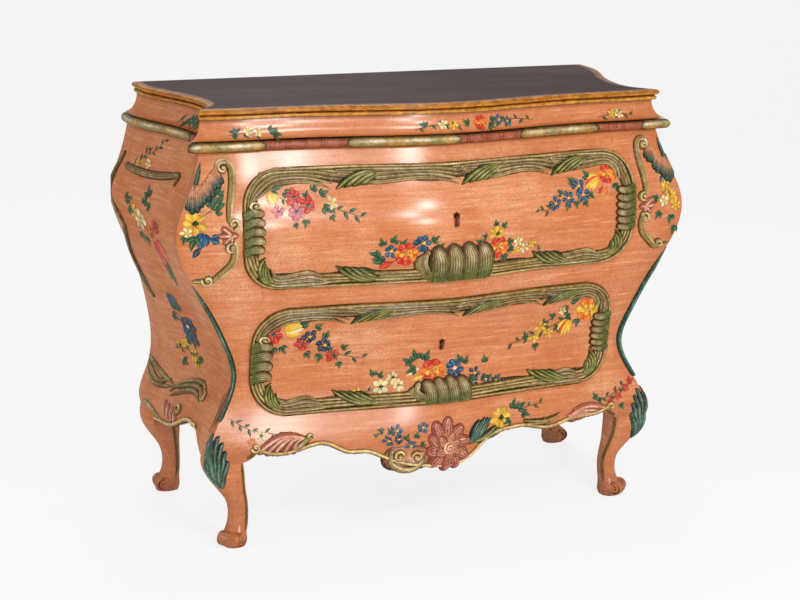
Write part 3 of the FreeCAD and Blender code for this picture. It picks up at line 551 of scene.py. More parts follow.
APRON_EDGE = ((-0.998, 4), (-0.96, 12), (-0.776, 18), (-0.611, 11), (-0.511, 30), (-0.411, 33),
              (-0.312, 50), (-0.2, 67), (-0.075, 76), (0.05, 79), (0.15, 65), (0.25, 32),
              (0.374, 19), (0.489, 19), (0.623, 30), (0.748, 20), (0.96, 10), (0.998, 4))
apron_low = Spline([share * LOWER_HALF for share, _ in APRON_EDGE],
                   [KNEE_HEIGHT - drop for _, drop in APRON_EDGE])
LEG_FRONT, LEG_BACK = -100.0, 189.0
SIDE_EDGE = ((0, 49), (0.035, -8), (0.12, -22), (0.29, -14), (0.44, 4), (0.6, 22), (0.74, 26),
             (0.85, 30), (0.92, 42), (1, 75))
side_low = Spline([toward(LEG_FRONT, LEG_BACK, share) for share, _ in SIDE_EDGE],
                  [KNEE_HEIGHT - drop for _, drop in SIDE_EDGE])


def spread(start, end, count):
    return np.linspace(start, end, count)


def bunched(start, end, count):
    """Places that crowd towards both ends."""
    return toward(start, end, (1 - np.cos(spread(0, math.pi, count))) / 2)


# ---------------------------------------------------------------- cuts

BOLT_ROOM, BOLT_TRAVEL = 0.6, 8.0


def apply_modifiers(piece):
    graph = bpy.context.evaluated_depsgraph_get()
    mesh = bpy.data.meshes.new_from_object(piece.evaluated_get(graph))
    old = piece.data
    piece.modifiers.clear()
    piece.data = mesh
    bpy.data.meshes.remove(old)


def cut(piece, shape):
    """Takes the closed shape that a builder holds away from a piece."""
    tool = shape.piece("cutting_tool", BODY)
    modifier = piece.modifiers.new("cut", "BOOLEAN")
    modifier.object = tool
    modifier.solver = "EXACT"
    apply_modifiers(piece)
    bpy.data.objects.remove(tool)


def cut_bolt_way(piece, bolt):
    """Cuts the way that a lock's bolt rises through."""
    low, high = box_mm(bolt)
    low, high = low - BOLT_ROOM, high + BOLT_ROOM
    x, z = np.meshgrid((low[0], high[0]), (low[2], high[2] + BOLT_TRAVEL))
    shape = Builder()
    slab(shape, *[np.stack([x, np.full_like(x, y), z], -1) for y in (low[1], high[1])],
         (0.8, 0.4, 0))
    cut(piece, shape)


# ---------------------------------------------------------------- case skin

WALL, POST_FOOT, POST_BACK = 22.0, 187.0, -52.0
HIDDEN_TONE = (0.7, 0.2, 0)
REAR_POST_FRONT, REAR_WELL = 185.0, 452.0


def frame_shade_and_dark_edges(x, z):
    """Where the paint is darker brown: painted shade beside the frames, where the gap lies, and darker
    at the corners, along the lower edge and under the cornice.
    """
    age = np.zeros(np.broadcast(x, z).shape)
    for half, low, high in OUTLINES.values():
        across = np.abs(x) - (half - CORNER_RADIUS)
        along = np.abs(z - (low + high) / 2) - ((high - low) / 2 - CORNER_RADIUS)
        distance = np.hypot(np.maximum(across, 0), np.maximum(along, 0)) - CORNER_RADIUS
        distance = np.where((across < 0) & (along < 0), np.maximum(across, along) - CORNER_RADIUS,
                            distance)
        # Painted shade along each frame's outer edge and along its inner edge.
        age = np.maximum(age, hump(distance, 9) * 0.7)
        age = np.maximum(age, hump(distance + 40, 14) * 0.35)
    age = np.maximum(age, 0.75 * hump(np.abs(x) - corner_x(z), 26))
    age = np.maximum(age, 0.8 * fall(np.maximum(z - 205, 0), 26))
    return np.maximum(age, 0.5 * fall(CROWN - z, 9))


def front_tone(x, z):
    # The age here holds the painted shade beside the frames as well.
    age = frame_shade_and_dark_edges(x, z)
    glaze = 0.35 * fall(np.maximum(z - apron_low(x), 0), 6) + 0.25 * fall(CROWN - z, 4)
    return np.stack([age, glaze, np.zeros_like(age)], -1)


def front_slab(out, x, z):
    outer = FRONT.place(x, z)
    inner = outer + np.array([0, WALL, 0])
    slab(out, outer, inner, front_tone(x, z), HIDDEN_TONE)


# The rail that each lock's bolt rises into.
BOLT_OVER = {"top_rail": "upper_lock_bolt", "mid_rail": "lower_lock_bolt"}


def add_rails():
    x = spread(-RAIL_HALF, RAIL_HALF, 150)
    spans = {
        "top_rail": (UPPER_TOP - outline_rise(x, UPPER_HALF), CROWN + 0 * x, 10),
        "mid_rail": (LOWER_TOP - outline_rise(x, LOWER_HALF),
                     UPPER_LOW + outline_rise(x, UPPER_HALF), 14),
        "apron_rail": (apron_low(x), LOWER_LOW + outline_rise(x, LOWER_HALF), 26),
    }
    for name, (low, high, rows) in spans.items():
        share = spread(0, 1, rows)[:, None]
        out = Builder()
        front_slab(out, np.broadcast_to(x, (rows, len(x))), toward(low, high, share))
        piece = out.piece(name + "_skin", BODY, replaces=[name])
        if name in BOLT_OVER:
            cut_bolt_way(piece, BOLT_OVER[name])


def knee_low(x):
    """The lower edge of the front beside a leg, sweeping down from the apron."""
    return POST_FOOT + 22 * np.clip((424 - np.abs(x)) / 40, 0, 1) ** 1.5


def knee_side_low(y):
    """The same on the side of a front post."""
    foot = float(side_low(POST_BACK))
    return toward(foot, POST_FOOT, np.clip((POST_BACK - y) / 50, 0, 1) ** 1.6)


def post_inner(z):
    inner = np.full_like(z, RAIL_HALF)
    for half, low, high in OUTLINES.values():
        inside = (z > low) & (z < high)
        inner = np.where(inside, np.maximum(inner, outline_half(z, half, low, high)), inner)
    return inner


# Each leg's sections: height, centre across, centre along, half widths, and how square the section is.
FRONT_LEG = ((0, 431, -138, 22, 22, 2.4), (9, 431, -138, 25, 25, 2.4), (22, 430, -138, 24, 24, 2.3),
             (45, 425, -134.5, 19.5, 20, 2.3), (75, 423, -133, 19, 19, 2.3),
             (96, 427, -134, 20.5, 20.5, 2.5), (116, 436, -136, 25, 25, 2.8),
             (150, 451, -138, 34.5, 35, 3.3), (175, 457, -137.5, 38.5, 38.5, 3.4),
             (200, 455, -135, 37, 38.5, 3.6), (222, 451, -133, 35, 36, 4), (244, 446, -130, 33, 34, 4))
REAR_LEG = ((0, 473, 214, 24, 20, 2.4), (9, 473, 214, 27, 23, 2.4), (22, 471, 214, 25, 22, 2.3),
            (45, 465, 214.5, 20, 20, 2.3), (75, 463, 215, 19, 19, 2.3),
            (96, 466, 214, 21, 20.5, 2.5), (116, 472, 213, 26, 24, 2.8),
            (150, 484, 210, 37, 31, 3.3), (175, 489, 208, 40, 34, 3.6),
            (200, 487, 208, 39, 34, 4), (222, 484, 208, 35, 33, 4), (244, 480, 208, 31, 32, 4))


class LegFace(Face):
    """Coordinates are the angle round the leg, in degrees from straight out, and z."""

    def __init__(self, sections, side, back_limit=None):
        self.side, self.sign, self.limit = side, side, back_limit
        columns = list(zip(*sections))
        self.traits = [Spline(columns[0], column) for column in columns[1:]]

    def point(self, angle, z):
        x, y, wide, deep, square = [trait(z) for trait in self.traits]
        cos, sin = np.cos(np.radians(angle)), np.sin(np.radians(angle))
        scale = (np.abs(cos) ** square + np.abs(sin) ** square) ** (-1 / square)
        across, along = x + wide * scale * cos, y - deep * scale * sin
        if self.limit is not None:
            along = np.minimum(along, self.limit)
        return np.stack([self.side * across, along, z + 0 * along], -1)


def leg_tone(z):
    age = np.clip(1.15 - z / 260, 0.25, 0.9)
    glaze = 0.25 * hump(z - 60, 40) + 0.5 * fall(z, 16)
    return np.stack([age, glaze, np.clip(1.2 - z / 40, 0, 1) * 0.8], -1)


def add_leg(out, face):
    z = np.concatenate([spread(0, 40, 12), spread(46, 244, 44)])[:, None]
    angle = spread(0, 360, 49)[None, :-1]
    angle, z = np.broadcast_arrays(angle, z)
    points = face.place(angle, z)
    points[..., 2] = np.maximum(points[..., 2], 0)
    out.grid(points, leg_tone(z), closed=True)
    for row in (0, -1):
        out.cap(points[row], leg_tone(z[row]), spread(1, 0.001, 4)[1:])


def add_toe(out, centre, outward, radius, length):
    """The scroll under a foot: a roll with a spiral carved in each end."""
    outward = np.array([*outward, 0]) / np.hypot(*outward)
    axis = np.cross(outward, [0, 0, 1])
    rows, turn = 25, spread(0, 2 * math.pi, 41)[None, :-1]
    share = spread(-1, 1, rows)[:, None]
    bulge = radius * (1 - 0.16 * share ** 2 + 0.05 * np.cos(turn * 2))
    bulge = np.where(np.abs(share) > 0.93, bulge * 0.93, bulge)
    ring = (outward * np.cos(turn)[..., None] + np.array([0, 0, 1]) * np.sin(turn)[..., None])
    points = centre + axis * (share * length / 2)[..., None] + ring * bulge[..., None]
    points[..., 2] = np.maximum(points[..., 2], 0)
    tone = np.broadcast_to(leg_tone(np.full(turn.shape, 14.0)), points.shape)
    out.grid(points, tone, closed=True)
    for end in (-1, 1):
        reach = spread(0.84, 0.001, 22)[:, None]
        wave = np.cos(turn * end - reach * 13) * (reach > 0.14)
        face = centre + axis * (end * (length / 2 - 2.2 + 2.4 * wave))[..., None]
        face = face + ring * (reach * radius * 0.93)[..., None]
        face[..., 2] = np.maximum(face[..., 2], 0)
        dark = np.stack([0.4 + 0 * wave, 0.45 - 0.45 * wave, 0.5 - 0.5 * wave], -1)
        out.grid(face, dark, closed=True)


LEG_FACES = {}
TOE_RADIUS = 17.5
# Each toe on the right: its place, the way that it points and its length.
TOES = {"front": ((443, -150), (1, -1), 46), "rear": ((485, 214), (1, 0), 44)}


def add_foot(out, place, leg):
    """A leg with its toe."""
    LEG_FACES[place, leg.side] = leg
    add_leg(out, leg)
    (x, y), (across, along), length = TOES[place]
    add_toe(out, np.array([leg.side * x, y, TOE_RADIUS]), (leg.side * across, along), TOE_RADIUS,
            length)


def add_front_post(name, face):
    out = Builder()
    z = np.unique(np.concatenate([spread(POST_FOOT, CROWN, 120),
                                  [LOWER_LOW, LOWER_TOP, UPPER_LOW, UPPER_TOP]]))[:, None]
    x = toward(post_inner(z), corner_x(z), spread(0, 1, 26)[None])
    front_slab(out, face.side * x, np.maximum(z + 0 * x, knee_low(x)))
    z = spread(POST_FOOT, CROWN, 116)[:, None]
    y = toward(BACK - side_run(z), POST_BACK, bunched(0, 1, 20)[None])
    add_side_slab(out, face, y, np.maximum(z, knee_side_low(y)))
    add_foot(out, "front", LegFace(FRONT_LEG, face.side))
    out.piece(f"front_post_{name}_skin", BODY, replaces=[f"front_post_{name}"])


def add_rear_post(name, face):
    out = Builder()
    z = spread(POST_FOOT, CROWN, 100)[:, None]
    y = spread(REAR_POST_FRONT, BACK, 12)[None]
    z = np.maximum(z + 0 * y, np.where(y < LEG_BACK, side_low(y), 0))
    add_side_slab(out, face, y + 0 * z, z, REAR_WELL)
    add_foot(out, "rear", LegFace(REAR_LEG, face.side, BACK - 0.5))
    out.piece(f"rear_post_{name}_skin", BODY, replaces=[f"rear_post_{name}"])


def side_tone(y, z):
    age = 0.55 * fall(np.maximum(z - side_low(y), 0), 40)
    age = np.maximum(age, 0.5 * fall(CROWN - z, 12))
    front = y - (BACK - side_run(z))
    age = np.maximum(age, 0.7 * fall(front, 22))
    glaze = 0.3 * fall(np.maximum(z - side_low(y), 0), 7) + 0.3 * fall(BACK - y, 8)
    return np.stack([age, glaze, 0 * age], -1)


def add_side_slab(out, face, y, z, well=None):
    """A plate of the case's side. Its inner face is upright where a well's half width is given."""
    outer = face.place(y, z)
    inner = outer - np.array([face.side * WALL, 0, 0])
    if well is not None:
        inner[..., 0] = face.side * well
    slab(out, outer, inner, side_tone(y, z), HIDDEN_TONE)


def add_side_panels():
    for name, face in SIDES.items():
        y = spread(POST_BACK, REAR_POST_FRONT, 48)[None]
        share = spread(0, 1, 120)[:, None]
        z = toward(side_low(y), CROWN, share)
        out = Builder()
        add_side_slab(out, face, y + 0 * z, z)
        out.piece(f"side_panel_{name}_skin", BODY, replaces=[f"side_panel_{name}"])


add_rails()
for side_name, side_face in SIDES.items():
    add_front_post(side_name, side_face)
    add_rear_post(side_name, side_face)
add_side_panels()


# ---------------------------------------------------------------- drawer fronts

WELL_DEPTHS = {"upper": 418.0, "lower": 400.0}
WELL_BOW, WELL_HALF = 28.0, WAIST_HALF + 75
# Each keyhole: height, radius and how far its slot drops.
KEYHOLES = {"upper": (672.5, 6.4, 21.0), "lower": (398.5, 5.6, 17.0)}
# Where a keyhole's cut starts and ends in y, and its slot's width as a share of the hole's.
KEYHOLE_ENDS, SLOT_SHARE = (-300.0, -120.0), 0.62


def add_keyhole(piece, height, radius, drop):
    """Cuts a round hole with a slot below it through the drawer front."""
    turn = np.radians(spread(-60, 240, 21))
    edge = [(radius * math.cos(a), height + radius * math.sin(a)) for a in turn]
    edge += [(way * radius * SLOT_SHARE, height - drop) for way in (-1, 1)]
    cutter = Builder()
    points = np.array([[(x, y, z) for x, z in edge] for y in KEYHOLE_ENDS])
    cutter.grid(points, closed=True)
    for ring in points:
        cutter.cap(ring)
    cut(piece, cutter)


def add_drawer_fronts():
    for name, (half, low, high) in OUTLINES.items():
        z = low + GAP + (high - low - 2 * GAP) * np.concatenate(
            [bunched(0, 0.3, 22)[:-1], spread(0.3, 0.7, 16), bunched(0.7, 1, 22)[1:]])[:, None]
        width = outline_half(z, half, low, high) - GAP
        x = width * spread(-1, 1, 150)[None]
        z = z + 0 * x
        outer = FRONT.place(x, z)
        well = BACK - WELL_DEPTHS[name] + WELL_BOW * FRONT_WAVE(x / WELL_HALF)
        inner = np.stack([x, well, z], -1)
        out = Builder()
        slab(out, outer, inner, front_tone(x, z), (0.8, 0.3, 0))
        piece = out.piece(f"{name}_drawer_front_skin", BODY, f"{name}_drawer",
                          [f"{name}_drawer_front"])
        add_keyhole(piece, *KEYHOLES[name])
        cut_bolt_way(piece, f"{name}_lock_bolt")


add_drawer_fronts()


# ---------------------------------------------------------------- cornice and top

CROWN_TRAITS = {name: amounts[-1] for name, amounts in TEMPLATES.items()}
# The mouldings break out past the case at the front corners, within a short way.
CROWN_EAR = 15.0
CROWN_TRAITS["corner"] += CROWN_EAR
CROWN_PINCH = CROWN_TRAITS["pinch"] + 6 + CROWN_EAR
EAR_WAVE = Spline((0, 0.05, 0.1, 0.17, 0.4, 1), (1, 0.62, 0.26, 0.04, 0, 0))


class CrownFace(Face):
    """A moulding that follows the plan of the crown. Coordinates are the place round the plan
    and the height; the profile says how far it stands out at a height."""

    def __init__(self, side, heights, side_out, front_out):
        self.side = side
        self.sign = 1 if side == 0 else side
        self.side_out, self.front_out = Spline(heights, side_out), Spline(heights, front_out)

    def half(self, z):
        """Half the width at the front corners."""
        return WAIST_HALF + CROWN_TRAITS["corner"] + self.side_out(z)

    def line(self, z):
        """The y of the middle of the front."""
        return BACK - CASE_DEPTH - CROWN_TRAITS["front"] - self.front_out(z)

    def point(self, a, z):
        corner, line = self.half(z), self.line(z)
        if self.side == 0:
            share = np.clip(a / corner, -1, 1)
            y = line + CROWN_TRAITS["bow"] * FRONT_WAVE(share)
            y = y + CROWN_TRAITS["turn"] * CORNER_WAVE(share)
            return np.stack([a, y, z + 0 * y], -1)
        run = BACK - (line + CROWN_TRAITS["bow"] + CROWN_TRAITS["turn"])
        share = np.clip(1 - (BACK - a) / run, 0, 1)
        narrow = corner - CROWN_PINCH
        rear = WAIST_HALF + CROWN_TRAITS["rear"] + self.side_out(z)
        x = toward(narrow, rear, SIDE_WAVE(share)) + CROWN_PINCH * EAR_WAVE(share)
        return np.stack([self.side * x, a + 0 * x, z + 0 * x], -1)

    def corner_at(self, z):
        """The place of the front corner in this face's first coordinate."""
        if self.side == 0:
            return self.half(z)
        return self.line(z) + CROWN_TRAITS["bow"] + CROWN_TRAITS["turn"]


def moulding_strip(face, z, back=BACK, count=160):
    """A grid of points over a moulding, mitred at the front corners."""
    corner = face.corner_at(z)[:, None]
    if face.side == 0:
        a = corner * spread(-1, 1, count)[None]
    else:
        a = toward(corner, back, spread(0, 1, count // 2)[None])
    return face.point(a, z[:, None] + 0 * a)


# How far the roll stands out and falls back at its rims; the same for the hollow over it, which
# is shallower at the front.
TORUS_OUT, TORUS_BELLY = 13, 9
FRIEZE_OUT, FRIEZE_HOLLOW, FRONT_HOLLOW_SHARE = 5, 26, 0.65


def step_profile(count, step):
    return [np.array(column, float) for column in zip(*[step(i / (count - 1)) for i in range(count)])]


def torus_step(share):
    angle = math.pi * (share - 0.5)
    out = TORUS_OUT - TORUS_BELLY * (1 - math.cos(angle))
    return toward(CROWN, TORUS_TOP, 0.5 + 0.5 * math.sin(angle)), out, out


def frieze_step(share):
    angle = math.pi / 2 * share
    rise = 0.06 + 0.94 * (1 - math.cos(angle))
    return (toward(TORUS_TOP, FRIEZE_TOP, rise), FRIEZE_OUT - FRIEZE_HOLLOW * math.sin(angle),
            FRIEZE_OUT - FRIEZE_HOLLOW * FRONT_HOLLOW_SHARE * math.sin(angle))


TORUS_COUNT, FRIEZE_COUNT = 17, 22
TORUS_PROFILE = step_profile(TORUS_COUNT, torus_step)
FRIEZE_PROFILE = step_profile(FRIEZE_COUNT, frieze_step)
FRIEZE_FACES = {side: CrownFace(side, *FRIEZE_PROFILE) for side in (-1, 0, 1)}
TORUS_FACES = {side: CrownFace(side, *TORUS_PROFILE) for side in (-1, 0, 1)}
SIDE_NAMES = {-1: "left", 0: "front", 1: "right"}
CORNICE_BACK_OUT, CORNICE_INNER_HALF, CORNICE_INNER_FRONT = 40.0, 460, -100
# Green cushions along the front roll, by middle and half length, with pink fluting between them.
CUSHIONS = ((-446, 76), (-94, 116), (256, 96), (520, 68))
SIDE_CUSHION = (135, 175)
CUSHION_TIP, FLUTE_PITCH = 15.0, 5.2


def torus_cushion(side, points):
    """How far each point lies inside the nearest green cushion, and its height on the roll."""
    along = points[..., 0] if side == 0 else points[..., 1]
    height = 2 * (points[..., 2] - CROWN) / (TORUS_TOP - CROWN) - 1
    cushions = CUSHIONS if side == 0 else (SIDE_CUSHION,)
    depths = [half - np.abs(along - middle) - 11 * height ** 2 for middle, half in cushions]
    return np.max(depths, axis=0), height, along


def torus_flute(along):
    """Uneven fluting along the roll, from 0 on a ridge to 1 in a hollow."""
    turn = along * 2 * math.pi / FLUTE_PITCH + 1.3 * np.sin(along * 0.23) + 0.8 * np.sin(along * 0.61)
    return (0.5 + 0.5 * np.cos(turn)) * (0.72 + 0.28 * np.sin(along * 0.17 + 1))


def carve_torus(side, points):
    """The roll with its pink stretches cut back and fluted."""
    depth, _, along = torus_cushion(side, points)
    sunk = np.clip(-depth / 2.5, 0, 1)
    flute = torus_flute(along)
    centre = points.mean(0, keepdims=True)
    return centre + (points - centre) * (1 - sunk * (0.14 + 0.07 * flute))[..., None]


def torus_tone(side, points):
    """Cream and olive cushions with dark green tips; pink between them. A painted highlight runs along
    the cushions, and painted shade darkens the roll's top and bottom edges.
    """
    depth, height, along = torus_cushion(side, points)
    wave = np.sin(along * 0.045 + height * 0.8) + np.sin(along * 0.117 + 2)
    warm = np.clip(0.5 + 0.4 * wave, 0, 1)[..., None]
    green = toward(srgb(152, 134, 74), srgb(190, 144, 62), warm)
    # Painted highlight: a pale band a little above the middle of the roll.
    painted_highlight = hump(height - 0.28, 0.3) * np.clip(0.55 + 0.35 * np.sin(along * 0.07), 0, 1)
    green = toward(green, srgb(244, 236, 206), painted_highlight[..., None])
    # Painted shade: darker towards the top and bottom of the roll, where it meets the frieze and the
    # case.
    crease_shade = np.clip((np.abs(height) - 0.55) / 0.4, 0, 1)[..., None]
    green = toward(green, srgb(78, 60, 22), crease_shade * 0.9)
    tip = np.clip(1 - depth / CUSHION_TIP, 0, 1)[..., None] ** 1.5
    green = toward(green, srgb(52, 70, 26), tip * 0.9)
    flute = torus_flute(along)[..., None]
    pink = toward(srgb(190, 106, 72), srgb(112, 46, 34), flute * 0.9)
    pink = toward(pink, srgb(80, 36, 16), crease_shade * 0.9)
    tone = np.where(depth[..., None] > 0, green, pink)
    line = hump(depth, 1.8)[..., None]
    return toward(tone, srgb(58, 36, 16), line * 0.85)


def add_cornice():
    for side, name in SIDE_NAMES.items():
        rows = TORUS_PROFILE[0]
        points = moulding_strip(TORUS_FACES[side], rows, count=900)
        points = carve_torus(side, points)
        out = Builder()
        out.grid(points, torus_tone(side, points))
        close_moulding(out, points, side, (0.2, 0.15, 0.08))
        out.piece(f"torus_{name}_skin", CARVED, replaces=[f"torus_{name}"], slot="carving")
        rows = FRIEZE_PROFILE[0]
        points = moulding_strip(FRIEZE_FACES[side], rows)
        share = (points[..., 2] - TORUS_TOP) / (FRIEZE_TOP - TORUS_TOP)
        # Darker at the hollow's foot, under the top's overhang and by the front corners: glaze, and
        # painted shade in the creases and round the corner.
        age = 0.3 + 0.4 * hump(share, 0.2) + 0.6 * hump(1 - share, 0.16)
        glaze = 0.5 * hump(share, 0.09) + 0.4 * hump(1 - share, 0.12)
        if side == 0:
            age = age + 0.8 * hump(np.abs(points[..., 0]) - 500, 70)
        else:
            front = points[..., 1] - TORUS_FACES[side].corner_at(np.array(CROWN))
            age = age + 0.9 * fall(front, 40)
            glaze = glaze + 0.5 * fall(front, 16)
        out = Builder()
        out.grid(points, np.clip(np.stack([age, glaze, 0 * age], -1), 0, 1))
        close_moulding(out, points, side, (0.6, 0.3, 0))
        out.piece(f"frieze_{name}_skin", BODY, replaces=[f"frieze_{name}"])


def close_moulding(out, points, side, colour):
    """Closes a moulding with a bottom, a top and an inner face behind it."""
    inner = points[[0, -1]].copy()
    if side == 0:
        inner[..., 1] += CORNICE_BACK_OUT
        inner[..., 0] = np.clip(inner[..., 0], -CORNICE_INNER_HALF, CORNICE_INNER_HALF)
    else:
        inner[..., 0] -= side * CORNICE_BACK_OUT
        inner[..., 1] = np.maximum(inner[..., 1], CORNICE_INNER_FRONT)
    out.grid(np.stack([points[0], inner[0]]), colour)
    out.grid(inner, colour)
    out.grid(np.stack([points[-1], inner[-1]]), colour)
    for end in (0, -1):
        low, high = inner[0, end], inner[-1, end]
        share = spread(0, 1, len(points))[:, None]
        out.grid(np.stack([points[:, end], toward(low, high, share)]), colour)


TOP_HEIGHT = TOP - FRIEZE_TOP
# The moulded edge of the top: share of the height, how far out sideways and forwards, and the tone.
GOLD, GOLD_DARK, GOLD_LIGHT = srgb(202, 122, 26), srgb(120, 60, 14), srgb(226, 166, 62)
TOP_EDGE = ((0, -26, -10, GOLD_DARK), (0.02, -19, -3, GOLD_DARK), (0.12, -16.6, -0.6, GOLD_LIGHT),
            (0.24, -16, 0, GOLD_LIGHT), (0.36, -17, -1, GOLD), (0.43, -19.5, -3.5, GOLD_DARK),
            (0.47, -19.5, -3.5, GOLD_DARK), (0.54, -15, 1, GOLD), (0.64, -12.6, 3.4, GOLD_LIGHT),
            (0.76, -12, 4, GOLD), (0.88, -12.8, 3.2, GOLD), (0.96, -15, 1, GOLD_LIGHT),
            (1, -19, -3, GOLD))
TOP_INSET = 12.0


def top_ring(side_out, front_out, z, back):
    """Points once round the top board's plan at a height."""
    ring = []
    for side in (-1, 0, 1):
        face = CrownFace(side, (z - 1, z + 1), (side_out, side_out), (front_out, front_out))
        strip = moulding_strip(face, np.array([z]), back=back, count=300)[0]
        ring.append(strip[::-1] if side == -1 else strip)
    ring = np.concatenate([ring[0][:-1], ring[1], ring[2][1:]])
    ring[[0, -1], 1] = back
    return ring


def fill_plan(ring, height, rows=60, columns=120):
    """A flat sheet inside a plan ring that starts and ends at the back."""
    front = ring[np.argmax(-ring[:, 1]), 1]
    middle = np.argmin(np.abs(ring[:, 0]))
    lines = []
    left, right = ring[:middle + 1], ring[middle:]
    for y in bunched(front, ring[0, 1], rows):
        low = np.interp(-y, -left[:, 1], left[:, 0])
        high = np.interp(-y, -right[::-1, 1], right[::-1, 0])
        lines.append(np.stack([spread(low, high, columns), np.full(columns, y),
                               np.full(columns, height)], -1))
    return np.stack(lines)


def add_top():
    back = box_mm("top_board")[1][1] - 0.5
    edge = Builder()
    heights, sides, fronts, tones = zip(*TOP_EDGE)
    fine = spread(0, 1, 49)
    chord = np.cumsum([0] + [math.hypot(a, b * TOP_HEIGHT) for a, b in
                             zip(np.diff(sides), np.diff(heights))])
    at = chord[-1] * fine
    height = np.interp(at, chord, heights)
    side_out, front_out = np.interp(at, chord, sides), np.interp(at, chord, fronts)
    rings = np.stack([top_ring(s_out, f_out, FRIEZE_TOP + TOP_HEIGHT * share, back)
                      for share, s_out, f_out in zip(height, side_out, front_out)])
    tone = np.stack([np.interp(at, chord, [t[i] for t in tones]) for i in range(3)], -1)
    place = rings[..., 0] * 0.021 + rings[..., 1] * 0.013
    patches = 0.9 + 0.13 * np.sin(place * 5 + np.sin(place * 11.3) * 1.7)
    edge.grid(rings, tone[:, None] * patches[..., None])
    lip = top_ring(sides[-1] - TOP_INSET, fronts[-1] - TOP_INSET, TOP, back)
    edge.grid(np.stack([rings[-1], lip]), GOLD_DARK)
    edge.piece("top_edge", GILT, slot="top")

    board = Builder()
    for ring, height in ((lip, TOP), (rings[0], FRIEZE_TOP + 0.2)):
        board.grid(fill_plan(ring, height))
    board.grid(np.stack([rings[:, 0], rings[:, -1]]))
    board.piece("top_board_skin", TOP_WOOD, replaces=["top_board"], slot="top")


add_cornice()
add_top()


# ---------------------------------------------------------------- carving

# The carving's paints: a middle colour, with a dark one for its painted shade and a pale one for its
# painted highlights.
OLIVE_TONES = shades((56, 32, 8), (130, 108, 44), (222, 198, 140))
LEAF_TONES = shades((28, 34, 6), (78, 92, 20), (192, 186, 104))
CREAM_TONES = shades((76, 50, 18), (160, 136, 76), (240, 222, 176))
TEAL_TONES = shades((4, 20, 18), (10, 66, 56), (132, 176, 154))
PINK_TONES = shades((150, 74, 54), (210, 126, 98), (246, 198, 168))
ROSE_TONES = shades((120, 40, 36), (196, 100, 84), (236, 178, 150))
SALMON_TONES = shades((130, 70, 36), (216, 142, 98), (246, 210, 178))
GILT_TONES = shades((96, 62, 22), (180, 144, 76), (236, 216, 158))
# The brown of the carving's wash, which is also its painted shade in hollows and along edges.
WASH_AND_SHADE = srgb(48, 26, 10)


def smooth_path(points, step=1.2):
    """Evenly spaced places along a smooth curve through the points."""
    points = np.array(points, float)
    chord = np.concatenate([[0], np.cumsum(np.linalg.norm(np.diff(points, axis=0), axis=1))])
    fine = spread(0, chord[-1], max(int(chord[-1] / step), 4))
    return np.stack([Spline(chord, column)(fine) for column in points.T], -1)


def swelling(u, root, tip, reach=0.35):
    """Width along a strand: a share at the root, full in the middle, a share at the tip."""
    start = root + (1 - root) * np.sin(np.clip(u / reach, 0, 1) * math.pi / 2)
    end = tip + (1 - tip) * np.sin(np.clip((1 - u) / reach, 0, 1) * math.pi / 2)
    return np.minimum(start, end)


